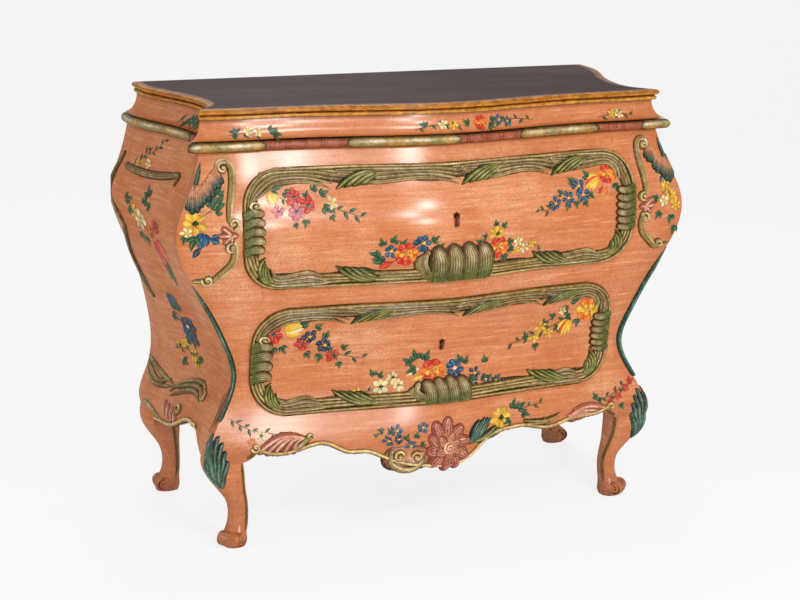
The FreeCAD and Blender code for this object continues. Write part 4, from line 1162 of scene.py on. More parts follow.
class Relief:
    """Carving on a face: each point stands as high as the highest strand over it."""

    SUNK, MARGIN, STRETCH, BLUR, CUT = -1.2, 1.3, 36, 2, 0.9

    def __init__(self, face, a_span, b_span, step=None, counts=None):
        """The points lie a step apart, or there are as many each way as counts says."""
        columns, rows = counts or [max(int(abs(high - low) / step), 2)
                                   for low, high in (a_span, b_span)]
        self.face = face
        self.a, self.b = np.meshgrid(spread(*a_span, columns), spread(*b_span, rows))
        self.lift = np.full(self.a.shape, self.SUNK)
        # Points that no strand raises keep the wash's brown, the painted shade along the carving's
        # edge.
        self.tone = np.zeros(self.a.shape + (3,)) + WASH_AND_SHADE

    def nearest(self, path, half, reach):
        """The points near a path, the place on the path that each is nearest to, and how far
        off it is as a share of the half width. The path is searched one stretch at a time."""
        a, b = self.a.ravel(), self.b.ravel()
        least, place = np.full(a.size, np.inf), np.zeros(a.size, int)
        for start in range(0, len(path), self.STRETCH):
            part = slice(start, start + self.STRETCH)
            low, high = path[part].min(0) - reach, path[part].max(0) + reach
            spots = np.flatnonzero((a > low[0]) & (a < high[0]) & (b > low[1]) & (b < high[1]))
            if not len(spots):
                continue
            offset = np.stack([a[spots], b[spots]], -1)[:, None] - path[None, part]
            closeness = (offset ** 2).sum(-1) / half[part] ** 2
            found = closeness.argmin(1)
            value = closeness[np.arange(len(spots)), found]
            better = value < least[spots]
            least[spots[better]] = value[better]
            place[spots[better]] = found[better] + start
        spots = np.flatnonzero(least < self.MARGIN ** 2)
        return spots, place[spots], np.sqrt(least[spots])

    def strand(self, points, width, height, tones, root=0.5, tip=0.05, lines=3, base=0.0,
               light=-0.3, fade=None, dome=2.4, shine=1.0):
        """Raises a tapered, rounded strand with fine lines cut along it. Its root may fade to another
        colour, and a higher dome makes its top flatter. Its colour holds painted shade towards its
        rounded edges and a painted highlight along one side, which light places and shine makes
        stronger."""
        path = smooth_path(points)
        u = spread(0, 1, len(path))
        shape = swelling(u, root, tip)
        half = width * np.maximum(shape, 0.03)
        phase = RANDOM.uniform(0, 6)
        spots, best, distance = self.nearest(path, half, width * self.MARGIN)
        run = np.gradient(path, axis=0)[best]
        away = np.stack([self.a.ravel()[spots], self.b.ravel()[spots]], -1) - path[best]
        across = distance * np.sign(run[:, 0] * away[:, 1] - run[:, 1] * away[:, 0])
        full = height * (0.35 + 0.65 * shape[best])
        groove = 0.5 - 0.5 * np.cos(across * math.pi * (lines + 1))
        lift = base + full * (1 - distance ** dome) - self.CUT * groove * (lines > 0)
        lift = np.maximum(lift, self.SUNK)
        dark, middle, pale = tones
        # Painted shade: darker towards the strand's edges, where its rounded top turns away.
        shade = np.clip((distance - 0.45) / 0.5, 0, 1)[:, None] ** 1.5
        tone = toward(middle, dark, shade)
        # Painted highlight: a pale band along the side that light says, as strong as shine says.
        flow = 0.7 + 0.3 * np.sin(u[best] * 9 + phase)
        glow = hump(across - light, 0.42) * flow * shine
        tone = toward(tone, pale, np.clip(glow, 0, 1)[:, None])
        tone = toward(tone, dark, (0.75 * groove * (lines > 0))[:, None])
        if fade is not None:
            share = np.clip(1.35 - 1.5 * u[best], 0, 1) ** 1.2 * 0.92
            tone = toward(tone, fade, share[:, None])
        higher = lift > self.lift.ravel()[spots]
        spots = spots[higher]
        self.lift.ravel()[spots] = lift[higher]
        self.tone.reshape(-1, 3)[spots] = tone[higher]

    def curl(self, centre, radius, turns, heading, spin, width, height, tones, base=0.0):
        """A volute: a strand that winds in to its eye."""
        angle = spread(0, turns * 2 * math.pi, 24)
        reach = radius * (1 - 0.86 * angle / angle[-1])
        turn = math.radians(heading) + spin * angle
        self.strand(np.stack([centre[0] + reach * np.cos(turn), centre[1] + reach * np.sin(turn)],
                             -1), width, height, tones, 0.8, 0.75, 0, base)
        self.strand([centre, (centre[0] + 0.5, centre[1])], width * 1.05, height * 1.25, tones,
                    1, 1, 0, base)

    def wash_and_shade(self):
        """A brown wash left in the hollows and along the edge, which also paints the shade there, and
        ridges made paler, both rubbed and with painted light.
        """
        raised = np.maximum(self.lift, -0.6)
        mean = raised
        for axis in (0, 1):
            shifts = range(-self.BLUR, self.BLUR + 1)
            mean = sum(np.roll(mean, shift, axis) for shift in shifts) / len(shifts)
        # Wash and painted shade: the hollows and the low edge go brown.
        hollow = np.clip((mean - raised) * 0.9, 0, 0.92)
        edge = np.clip(1 - (raised + 0.3) / 1.5, 0, 0.85)
        self.tone += (WASH_AND_SHADE - self.tone) * np.maximum(hollow, edge)[..., None]
        # Painted light with the rubbing: the ridges are made paler.
        ridge_rub_and_light = np.clip((raised - mean) * 0.55, 0, 0.5)[..., None]
        self.tone = np.clip(self.tone * (1 + ridge_rub_and_light), 0, 1)

    def into(self, out):
        self.wash_and_shade()
        keep = self.lift > self.SUNK * 0.9
        out.grid(self.face.place(self.a, self.b, self.lift), self.tone, keep=keep)


class FrameFace:
    """Coordinates follow a drawer's outline: along it, clockwise from the middle of its foot,
    and inwards from its edge."""

    def __init__(self, half, low, high):
        radius = CORNER_RADIUS - GAP
        half, low, high = half - GAP, low + GAP, high - GAP
        flat, turn = half - radius, radius * math.pi / 2
        bottom, top = low + radius, high - radius
        legs = (flat, turn, top - bottom, turn, 2 * flat, turn, top - bottom, turn, flat)
        self.radius = radius
        self.marks = np.concatenate([[0], np.cumsum(legs)])
        self.length = self.marks[-1]
        self.x = (0, -flat, -flat, -flat, -flat, flat, flat, flat, flat, 0)
        self.z = (bottom, bottom, bottom, top, top, top, top, bottom, bottom, bottom)
        self.turn = (-90, -90, -180, -180, -270, -270, -360, -360, -450, -450)

    def spot(self, along, inward):
        along = np.mod(along, self.length)
        turn = np.radians(np.interp(along, self.marks, self.turn))
        reach = self.radius - inward
        return (np.interp(along, self.marks, self.x) + reach * np.cos(turn),
                np.interp(along, self.marks, self.z) + reach * np.sin(turn))

    def place(self, along, inward, lift):
        return FRONT.place(*self.spot(along, inward), lift)


FRAME_STRANDS = 4
FRAME_COLUMNS, FRAME_ROWS, FRAME_OUTER, FRAME_INNER = 1500, 56, -0.6, 46.0


def carve_blade(relief, start, end):
    """Strands that leave a bundle, flow along the frame and part into tips turned inwards."""
    run = end - start
    for number in range(FRAME_STRANDS):
        share = number / (FRAME_STRANDS - 1)
        relief.strand([
            (start + 6 * share, 9 + 8 * share), (start + run * 0.22, 8 + 22 * share),
            (start + run * 0.55, 9 + 17 * share), (start + run * 0.85, 11 + 20 * share),
            (end + 14 - 18 * share, 17 + 25 * share)],
            6.4 - 0.6 * share, 8.4 - 1.4 * share, OLIVE_TONES if number % 2 else CREAM_TONES,
            root=0.6, tip=0.05, lines=2, light=0.35)


def carve_feathers(relief, start, way):
    """A leaf whose tips turn back over the end of the blade before it."""
    for number in range(4):
        reach = number * 16
        relief.strand([
            (start + way * (74 + reach * 0.35), 10 + number * 1.5),
            (start + way * (34 + reach * 0.8), 19 + number * 0.8),
            (start + way * (reach - 4), 43 - number * 2.2)],
            8.0, 9.6 - 0.5 * number, LEAF_TONES, root=0.3, tip=0.12, base=0.6, lines=1)


def carve_flutes(relief, start, end, count):
    """Rounded flutes side by side across the frame, pale at their round inner ends."""
    pitch = (end - start) / count
    for number in range(count):
        middle = start + pitch * (number + 0.5)
        bulge = 3 * math.sin(math.pi * (number + 0.5) / count)
        relief.strand([(middle - 3, 4), (middle + 2, 19), (middle - 1, 34 + bulge)],
                      pitch * 0.56, 5, CREAM_TONES, root=1, tip=0.72, lines=5, light=0, base=4,
                      fade=LEAF_TONES[1], dome=4.5)


def carve_stem(relief, start, end):
    """Three thin strands that run on beside the frame's rim."""
    for number, inward in enumerate((12, 19, 26)):
        relief.strand([(start, inward), ((start + end) / 2, inward + 1 - number),
                       (end, inward - 1)], 4.6, 6, OLIVE_TONES, root=0.8, tip=0.8, lines=0)


# Along each frame: where the blades, turned leaves, flutes and plain stems start and end.
FRAME_PARTS = {
    "upper": {"blades": ((255, 400), (566, 782), (792, 1042), (1046, 1257), (1258, 1470),
                         (1690, 1850)),
              "feathers": ((792, 1), (1046, 1), (1258, 1), (236, -1), (1862, -1), (452, -1),
                           (1592, 1)),
              "flutes": ((470, 558, 5), (1494, 1586, 6)),
              "stems": ((66, 270), (1800, 1982), (380, 460), (1590, 1700)),
              "eye": (566, 25)},
    "lower": {"blades": ((249, 380), (534, 762), (770, 998), (1006, 1198), (1200, 1390),
                         (1590, 1710)),
              "feathers": ((770, 1), (1006, 1), (1200, 1), (226, -1), (1716, -1), (428, -1),
                           (1498, 1)),
              "flutes": ((440, 528, 4), (1404, 1494, 6)),
              "stems": ((58, 262), (1660, 1880), (360, 436), (1498, 1600)),
              "eye": (538, 25)},
}
SHELLS = {"upper": (-74, 83, 529, 614, 4), "lower": (-65, 63, 260, 324, 4)}


def carve_shell(relief, left, right, low, high, count):
    """Broad leaning pillows that swell towards their round tops, with a hook at the left end."""
    pitch = (right - left - 26) / count
    for number, lean in enumerate((0, 10)):
        relief.strand([(left + 48, low + 6), (left + 24 - lean, low + 26),
                       (left + 10 - lean, high - 26), (left + 15 - lean, high - 12 - lean)],
                      9, 5.5 - number, CREAM_TONES, root=0.5, tip=0.7, lines=3, base=2,
                      fade=LEAF_TONES[1], dome=3.5)
    for number in range(count):
        foot = left + pitch * (number + 0.5) + 30
        crest = high - 9 - abs(number - (count - 1) * 0.6) * 2.2
        relief.strand([(foot - 4, low + 5), (foot - 1, low + (crest - low) * 0.4),
                       (foot - 3, low + (crest - low) * 0.75), (foot - 10, crest)],
                      pitch * 0.6, 4.2 - 0.25 * number, CREAM_TONES, root=0.85, tip=0.62,
                      lines=6, base=5, light=-0.1, fade=LEAF_TONES[1], dome=4)


def add_frames():
    for name, (half, low, high) in OUTLINES.items():
        face = FrameFace(half, low, high)
        parts = FRAME_PARTS[name]
        relief = Relief(face, (0, face.length), (FRAME_OUTER, FRAME_INNER),
                        counts=(FRAME_COLUMNS, FRAME_ROWS))
        rim = [(along, 3.2 + 0.9 * math.sin(along * 0.021)) for along in
               spread(-20, face.length + 20, 90)]
        relief.strand(rim, 3.6, 6, OLIVE_TONES, root=1, tip=1, lines=0, light=0.3)
        bed = [(along, 17 + 3 * math.sin(along * 0.04)) for along in
               spread(-20, face.length + 20, 120)]
        relief.strand(bed, 14, 3, OLIVE_TONES, root=1, tip=1, lines=3)
        for start, end in parts["stems"]:
            carve_stem(relief, start, end)
        for start, end in parts["blades"]:
            carve_blade(relief, start, end)
        for start, end, count in parts["flutes"]:
            carve_flutes(relief, start, end, count)
        for start, way in parts["feathers"]:
            carve_feathers(relief, start, way)
        relief.curl(parts["eye"], 12, 1.2, 200, 1, 5, 9, CREAM_TONES)
        out = Builder()
        relief.into(out)
        shell = Relief(FRONT, (-96, 100), (low + 1.5, low + 92), 1.1)
        carve_shell(shell, *SHELLS[name])
        shell.into(out)
        out.piece(f"{name}_drawer_frame_skin", CARVED, f"{name}_drawer",
                  [f"{name}_drawer_frame"], slot="carving")


add_frames()


def mirrored(side, points):
    return [(side * abs(a), b) for a, b in points]


class CornerFront:
    """The front face near a corner, which never reaches round it."""

    def place(self, x, z, lift):
        limit = corner_x(z) - 0.4
        return FRONT.place(np.clip(x, -limit, limit), z, lift)


UPPER_SCROLL = ((467, 777), (462, 788), (451, 790), (443, 782), (441, 765), (446, 732),
                (452, 703), (453, 684))
LOWER_SCROLL = ((446, 637), (444, 619), (452, 596), (469, 579), (490, 563), (503, 563))
SCROLL_TIP = ((496, 563), (508, 565), (524, 566))
SCROLL_EYES = (((457, 779), 60), ((446, 677), -80), ((451, 631), 90), ((495, 568), 180))
# The leaf between the scroll and the corner has three lobes, each a fan from its own root.
LEAF_LOBES = (
    (((528, 752), (530, 724)), ((519, 747), (528, 709)),
     ((514, 746), (521, 702)), ((508, 745), (512, 705)),
     ((502, 744), (504, 714))),
    (((496, 745), (498, 721)), ((492, 751), (489, 724)),
     ((486, 757), (481, 732))),
    (((481, 764), (476, 746)), ((476, 769), (468, 748)),
     ((471, 773), (462, 756))),
)
LEAF_STALK = (790, 768, 745, 720)
SHELL_EYE = (450, 655)
SHELL_LOBES = ((471, 655), (465, 668), (442, 654), (463, 642), (451, 645))


def carve_scroll(relief, points, width, height, tip=0.85):
    """A broad band with cream edges and an olive hollow between them."""
    relief.strand(points, width, height, CREAM_TONES, root=0.85, tip=tip, lines=0, light=0.7)
    relief.strand(points, width * 0.62, height + 0.9, OLIVE_TONES, root=0.85, tip=tip, lines=3,
                  shine=0.5)


def add_corner_carving():
    out = Builder()
    for side in (-1, 1):
        relief = Relief(CornerFront(), (side * 432, side * 552), (540, 800), 1.0)
        for lobe in LEAF_LOBES:
            for root, tip in lobe:
                middle = ((root[0] + tip[0]) / 2 + 1.5, (root[1] + tip[1]) / 2)
                relief.strand(mirrored(side, (root, middle, tip)), 8.2, 5.5, TEAL_TONES,
                              root=0.8, tip=0.75, lines=3, light=0, fade=srgb(224, 152, 108),
                              dome=3.5, shine=0.4)
        stalk = [(float(corner_x(z)) - 5, z) for z in LEAF_STALK]
        relief.strand(mirrored(side, stalk), 4.4, 5, TEAL_TONES, root=0.1, tip=0.7, lines=0,
                      shine=0.3)
        for lobe in SHELL_LOBES:
            relief.strand(mirrored(side, (SHELL_EYE, lobe)), 7.4, 6, PINK_TONES, root=0.35,
                          tip=0.8, lines=1, light=0)
        carve_scroll(relief, mirrored(side, UPPER_SCROLL), 7.6, 7.2)
        carve_scroll(relief, mirrored(side, LOWER_SCROLL), 8.2, 7.4, 0.5)
        relief.strand(mirrored(side, SCROLL_TIP), 5, 6, CREAM_TONES, tip=0.15, lines=1)
        for centre, heading in SCROLL_EYES:
            relief.curl((side * centre[0], centre[1]), 10, 1.1, heading, -side, 4.6, 8.6,
                        CREAM_TONES)
        relief.into(out)
    out.piece("corner_scrolls_skin", CARVED, replaces=["corner_scrolls"], slot="carving")


RIB_LOW, RIB_HIGH, RIB_RADIUS = 271, 556, 7.6


def add_ribs():
    """The rounded teal rib down each front corner, from the lower scroll to the knee, with painted
    shade round its sides and a painted highlight line along it.
    """
    out = Builder()
    for side in (-1, 1):
        z = spread(RIB_LOW, RIB_HIGH, 130)[:, None]
        turn = np.radians(spread(-40, 220, 15))[None]
        radius = (RIB_RADIUS * np.minimum(1, 0.35 + (RIB_HIGH - z) / 70)
                  * np.minimum(1, 0.6 + (z - RIB_LOW) / 9))
        x = side * (corner_x(z) - 1.5 + radius * np.cos(turn - 0.9))
        y = BACK - side_run(z) + 1.5 - radius * np.sin(turn - 0.1)
        rows = np.stack([x, y, z + 0 * x], -1)
        middle = np.degrees(turn) - 90
        # Painted shade: darker the further round from the rib's front.
        tone = toward(TEAL_TONES[1], TEAL_TONES[0], (np.abs(middle) / 130)[..., None])
        # Painted highlight: a pale line along one side of the rib.
        line = hump(middle - 18, 16) * (0.55 + 0.3 * np.sin(z * 0.06))
        tone = toward(tone, TEAL_TONES[2], line[..., None])
        out.grid(rows, tone)
        for end in (0, -1):
            out.cap(rows[end], TEAL_TONES[1], (0.02,), closed=False)
    out.piece("corner_ribs_skin", CARVED, replaces=["corner_ribs"], slot="carving")


add_corner_carving()
add_ribs()


# ---------------------------------------------------------------- carving on the apron and knees

class KneeFace(Face):
    """The rounded front corner of the case running down into the leg. Coordinates are the
    distance from the corner, towards the middle of the front when positive, and the height."""

    SPAN, LEG_TOP, MERGE_FOOT, MERGE_RISE = 34.0, 243.9, 178, 26

    def __init__(self, side):
        self.side = side
        self.sign = -side
        self.leg = LEG_FACES["front", side]

    def point(self, a, z):
        a, z = np.broadcast_arrays(a, z)
        leg = self.leg.point(45 + a / self.SPAN * 52, np.minimum(z, self.LEG_TOP))
        corner = corner_x(z)
        front = np.stack([self.side * (corner - a), front_y(corner - a, z), z], -1)
        back_y = BACK - side_run(z) - a
        beside = np.stack([self.side * side_x(back_y, z), back_y, z], -1)
        blend = np.clip(0.5 + a / 12, 0, 1)[..., None]
        case = toward(beside, front, blend)
        share = np.clip((z - self.MERGE_FOOT) / self.MERGE_RISE, 0, 1)[..., None]
        share = share * share * (3 - 2 * share)
        return toward(leg, case, share)


KNEE_LOBES = ((-21, 206), (-18, 228), (-6, 244), (9, 240), (21, 227), (30, 210), (32, 190))


def add_knee_leaves():
    out = Builder()
    for side in (-1, 1):
        relief = Relief(KneeFace(side), (-32, 38), (132, 252), 1.1)
        for number, lobe in enumerate(KNEE_LOBES):
            foot = (6 + number * 0.3, 134)
            bend = (toward(foot[0], lobe[0], 0.4), toward(foot[1], lobe[1], 0.5))
            relief.strand((foot, bend, lobe), 8.0, 6.4 - 0.9 * (number % 2), TEAL_TONES, root=0.15,
                          tip=0.6, lines=1, base=0.6)
        relief.into(out)
    out.piece("knee_leaves", CARVED, slot="carving")


APRON_LINE = [(x, float(apron_low(x))) for x in spread(-398, 398, 60)]
LEFT_FAN, LEFT_FAN_TIPS = (-290, 222), ((-388, 206), (-372, 202), (-355, 202), (-337, 199),
                                        (-318, 200))
RIGHT_FAN, RIGHT_FAN_TIPS = (302, 203), ((316, 200), (334, 202), (353, 205), (371, 208),
                                         (387, 213))
LEFT_LEAF = ((-284, 222), (-296, 212), (-312, 203), (-322, 199))
RIGHT_LEAF = ((193, 202), (229, 199), (258, 203), (282, 214))
PENDANT = ((-114, 178), (-116, 158), (-100, 142), (-79, 136), (-58, 142), (-47, 158), (-48, 170))
PENDANT_EYES = (((-98, 169), 20, 1), ((-59, 165), 160, -1))
KNEE_EYES = ((-397, 214), (405, 213))


def carve_fan(relief, root, tips):
    """Pink gadroons that sweep from one root to round ends on the lower edge."""
    for number, tip in enumerate(tips):
        bend = (toward(root[0], tip[0], 0.55), max(root[1], tip[1]) + 6 - 2.2 * number)
        relief.strand([root, bend, tip], 9.5, 6.6 - 0.5 * number, PINK_TONES, root=0.25, tip=0.7,
                      lines=1, light=0)


def carve_apron(relief):
    """The carved lower edge: a gilt bead, pink gadroons by the legs, leaves and the scroll."""
    relief.strand([(x, z + 3.4) for x, z in APRON_LINE], 4.4, 5, GILT_TONES, root=1, tip=1,
                  lines=0, light=0.2)
    carve_fan(relief, LEFT_FAN, LEFT_FAN_TIPS)
    carve_fan(relief, RIGHT_FAN, RIGHT_FAN_TIPS[::-1])
    for leaf in (LEFT_LEAF, RIGHT_LEAF):
        for rise in (0, 6):
            relief.strand([(x, z + rise * (1 - k / 3)) for k, (x, z) in enumerate(leaf)], 6,
                          6.6, OLIVE_TONES, root=0.6, tip=0.15, lines=1)
    relief.curl((-283, 223), 6, 0.9, 0, 1, 4, 7, OLIVE_TONES)
    relief.strand([(-108, 166), (-54, 164)], 24, 2.4, SALMON_TONES, root=1, tip=1, lines=0)
    carve_scroll(relief, PENDANT, 7, 7)
    for centre, heading, spin in PENDANT_EYES:
        relief.curl(centre, 10.5, 1.2, heading, spin, 4.6, 8.4, GILT_TONES)
    for x, z in KNEE_EYES:
        relief.curl((x, z), 8.5, 1.1, 200, 1 if x < 0 else -1, 4, 6.5, GILT_TONES)
    for number in range(5):
        relief.strand([(60 + number * 2, 178 + number), (66 + number * 7, 202 + number),
                       (82 + number * 7, 224 + 6 * (number > 1) - number * 1.5)], 6.2,
                      7 - 0.5 * number, TEAL_TONES, root=0.3, tip=0.5, lines=1)
    for number in range(3):
        relief.strand([(66, 180), (92, 190 - number * 2), (122 + number * 6, 208 - number * 6)],
                      6.4, 6 - 0.5 * number, LEAF_TONES, root=0.4, tip=0.4, lines=1)


ROSETTE_PLACE = (8, 178)
# The petals of both rings: heading in degrees and reach.
ROSETTE_PETALS = ((86, 62), (50, 54), (12, 53), (-30, 53), (-64, 52), (-96, 50), (-134, 53),
                  (-171, 48), (146, 48), (117, 60))
ROSETTE_INNER = ((70, 34), (20, 30), (-40, 30), (-100, 30), (-160, 32), (130, 34))


def carve_rosette(relief):
    """A ruffled open rose: two rings of folded petals round a spiral heart."""
    x, z = ROSETTE_PLACE
    for petals, wide, lift in ((ROSETTE_PETALS, 15.5, 0), (ROSETTE_INNER, 13.5, 5)):
        for number, (heading, reach) in enumerate(petals):
            cos, sin = polar(1, heading)
            relief.strand([(x + 8 * cos, z + 8 * sin),
                           (x + reach * 0.5 * cos - 2 * sin, z + reach * 0.5 * sin + 2 * cos),
                           (x + (reach - 9) * cos, z + (reach - 9) * sin)],
                          wide, 9 - number % 2, ROSE_TONES, root=0.3, tip=0.74, lines=4,
                          base=lift + number % 2, light=0.2, fade=srgb(222, 146, 96))
    relief.strand([(x - 1, z), (x + 1, z)], 15, 5, SALMON_TONES, root=1, tip=1, lines=0, base=9)
    relief.curl((x, z), 12, 1.5, 100, 1, 3.8, 3.4, SALMON_TONES, base=12)


def add_apron_carving():
    out = Builder()
    relief = Relief(FRONT, (-412, 414), (126, 262), 1.2)
    carve_apron(relief)
    relief.into(out)
    out.piece("apron_carving", CARVED, replaces=["apron_scroll"], slot="carving")
    out = Builder()
    relief = Relief(FRONT, (-52, 72), (116, 246), 0.9)
    carve_rosette(relief)
    relief.into(out)
    out.piece("apron_rosette_skin", CARVED, replaces=["apron_rosette"], slot="rosette")


# On the sides: the moulding line, the leaves at its foot and the scroll over the lower edge.
SIDE_MOULDING = (((181, 729), (110, 725), (5, 737), (-12, 738), (-6, 722)),
                 ((211, 748), (239, 694), (242, 651), (195, 624), (184, 605)),
                 ((184, 605), (214, 566), (232, 534), (205, 483), (171, 451)))
SIDE_LEAVES = (((238, 300), (190, 292), (138, 281), (100, 276)),
               ((236, 290), (196, 276), (150, 268), (112, 284)),
               ((230, 280), (190, 262), (140, 262), (104, 268)))
SIDE_ARCH = (((98, 262), (66, 286), (20, 301), (-18, 300), (-34, 288)),
             ((102, 270), (70, 278), (26, 290), (-10, 290), (-30, 280)),
             ((92, 254), (62, 268), (28, 280), (0, 280), (-22, 272)))
SIDE_SCROLL = ((226, 200), (196, 210), (150, 206), (112, 194))
SIDE_SHELL = ((100, 222), (84, 218), (68, 216), (52, 214))


def add_side_carving():
    out = Builder()
    for face in SIDES.values():
        relief = Relief(face, (-60, 243), (188, 770), 1.5)
        for line in SIDE_MOULDING:
            relief.strand(line, 8.6, 6, OLIVE_TONES, root=0.8, tip=0.6, lines=3, light=0.2,
                          dome=3, shine=0.6)
        for line in SIDE_LEAVES + SIDE_ARCH:
            relief.strand(line, 6.6, 6, OLIVE_TONES, root=0.4, tip=0.25, lines=2)
        relief.curl((-30, 284), 9, 1.1, 90, 1, 4, 6.5, OLIVE_TONES)
        edge = [(y, float(knee_side_low(y) if y < POST_BACK else side_low(y)) + 3.6)
                for y in spread(-92, 184, 40)]
        relief.strand(edge, 5, 4.6, GILT_TONES, root=1, tip=1, lines=0, light=0.2)
        relief.strand(SIDE_SCROLL, 7, 5.5, CREAM_TONES, root=0.6, tip=0.3, lines=2)
        for y, z in SIDE_SHELL:
            relief.strand([(y, z + 18), (y - 3, z + 6), (y - 6, z - 6)], 9, 5.5, PINK_TONES,
                          root=0.4, tip=0.7, lines=1)
        relief.curl((42, 236), 10, 1.2, 0, 1, 4.4, 6.5, OLIVE_TONES)
        relief.into(out)
    out.piece("side_carving", CARVED, slot="carving")


LEG_EDGE_HEIGHTS = (188, 168, 145, 120, 95, 70, 48, 32)
LEG_EDGE_ANGLES = {"front": 142, "rear": 118}
# Where the bead of a front leg starts on the apron.
LEG_LINE_START = ((384, 212), (397, 206), (408, 198))


def tube(out, points, radius, tones):
    """A bead along a path in space, thinner at its ends, with a painted highlight along one side and
    painted shade along the other.
    """
    path = smooth_path(points, 3)
    run = np.gradient(path, axis=0)
    run /= np.linalg.norm(run, axis=1, keepdims=True)
    across = np.cross(run, (0, 1, 0))
    across /= np.linalg.norm(across, axis=1, keepdims=True)
    upward = np.cross(across, run)
    turn = spread(0, 2 * math.pi, 13)[None, :-1, None]
    half = radius * swelling(spread(0, 1, len(path)), 0.3, 0.3, 0.08)[:, None, None]
    rings = path[:, None] + half * (across[:, None] * np.cos(turn) + upward[:, None] * np.sin(turn))
    dark, middle, pale = tones
    # Painted light and shade round the bead: pale on one side, dark on the other.
    glow = np.clip(np.sin(turn + 0.6), -1, 1)
    tone = middle + np.where(glow > 0, (pale - middle) * glow * 0.7, (middle - dark) * glow * 0.9)
    out.grid(rings, np.broadcast_to(tone, rings.shape), closed=True)


def add_leg_lines():
    """The bead that runs from the apron's edge down the inner edge of each leg."""
    out = Builder()
    for (place, side), leg in LEG_FACES.items():
        angle = LEG_EDGE_ANGLES[place]
        points = [leg.point(angle, float(z)) for z in LEG_EDGE_HEIGHTS]
        if place == "front":
            points = [FRONT.place(side * x, z, 1.0) for x, z in LEG_LINE_START] + points
        tube(out, np.array(points), 4.0, GILT_TONES)
    out.piece("leg_lines", CARVED, slot="carving")


add_knee_leaves()
add_apron_carving()
add_side_carving()
add_leg_lines()


# ---------------------------------------------------------------- painted flowers

RED = shades((120, 14, 20), (206, 34, 30), (240, 120, 84))
PINK_PAINT = shades((164, 46, 72), (216, 96, 112), (246, 190, 190))
YELLOW = shades((176, 110, 10), (236, 182, 40), (252, 232, 140))
CREAM = shades((190, 160, 96), (238, 222, 160), (252, 246, 218))
ORANGE = shades((176, 52, 10), (230, 108, 26), (250, 190, 70))
BLUE = shades((4, 24, 48), (14, 70, 108), (112, 170, 192))
NAVY = shades((4, 12, 30), (12, 42, 72), (110, 146, 170))
GREEN = shades((8, 28, 18), (26, 74, 46), (126, 164, 108))
DARK_EYE = shades((8, 12, 10), (20, 30, 20), (70, 84, 60))
TEAL_EYE = shades((8, 26, 30), (22, 62, 62), (130, 170, 150))


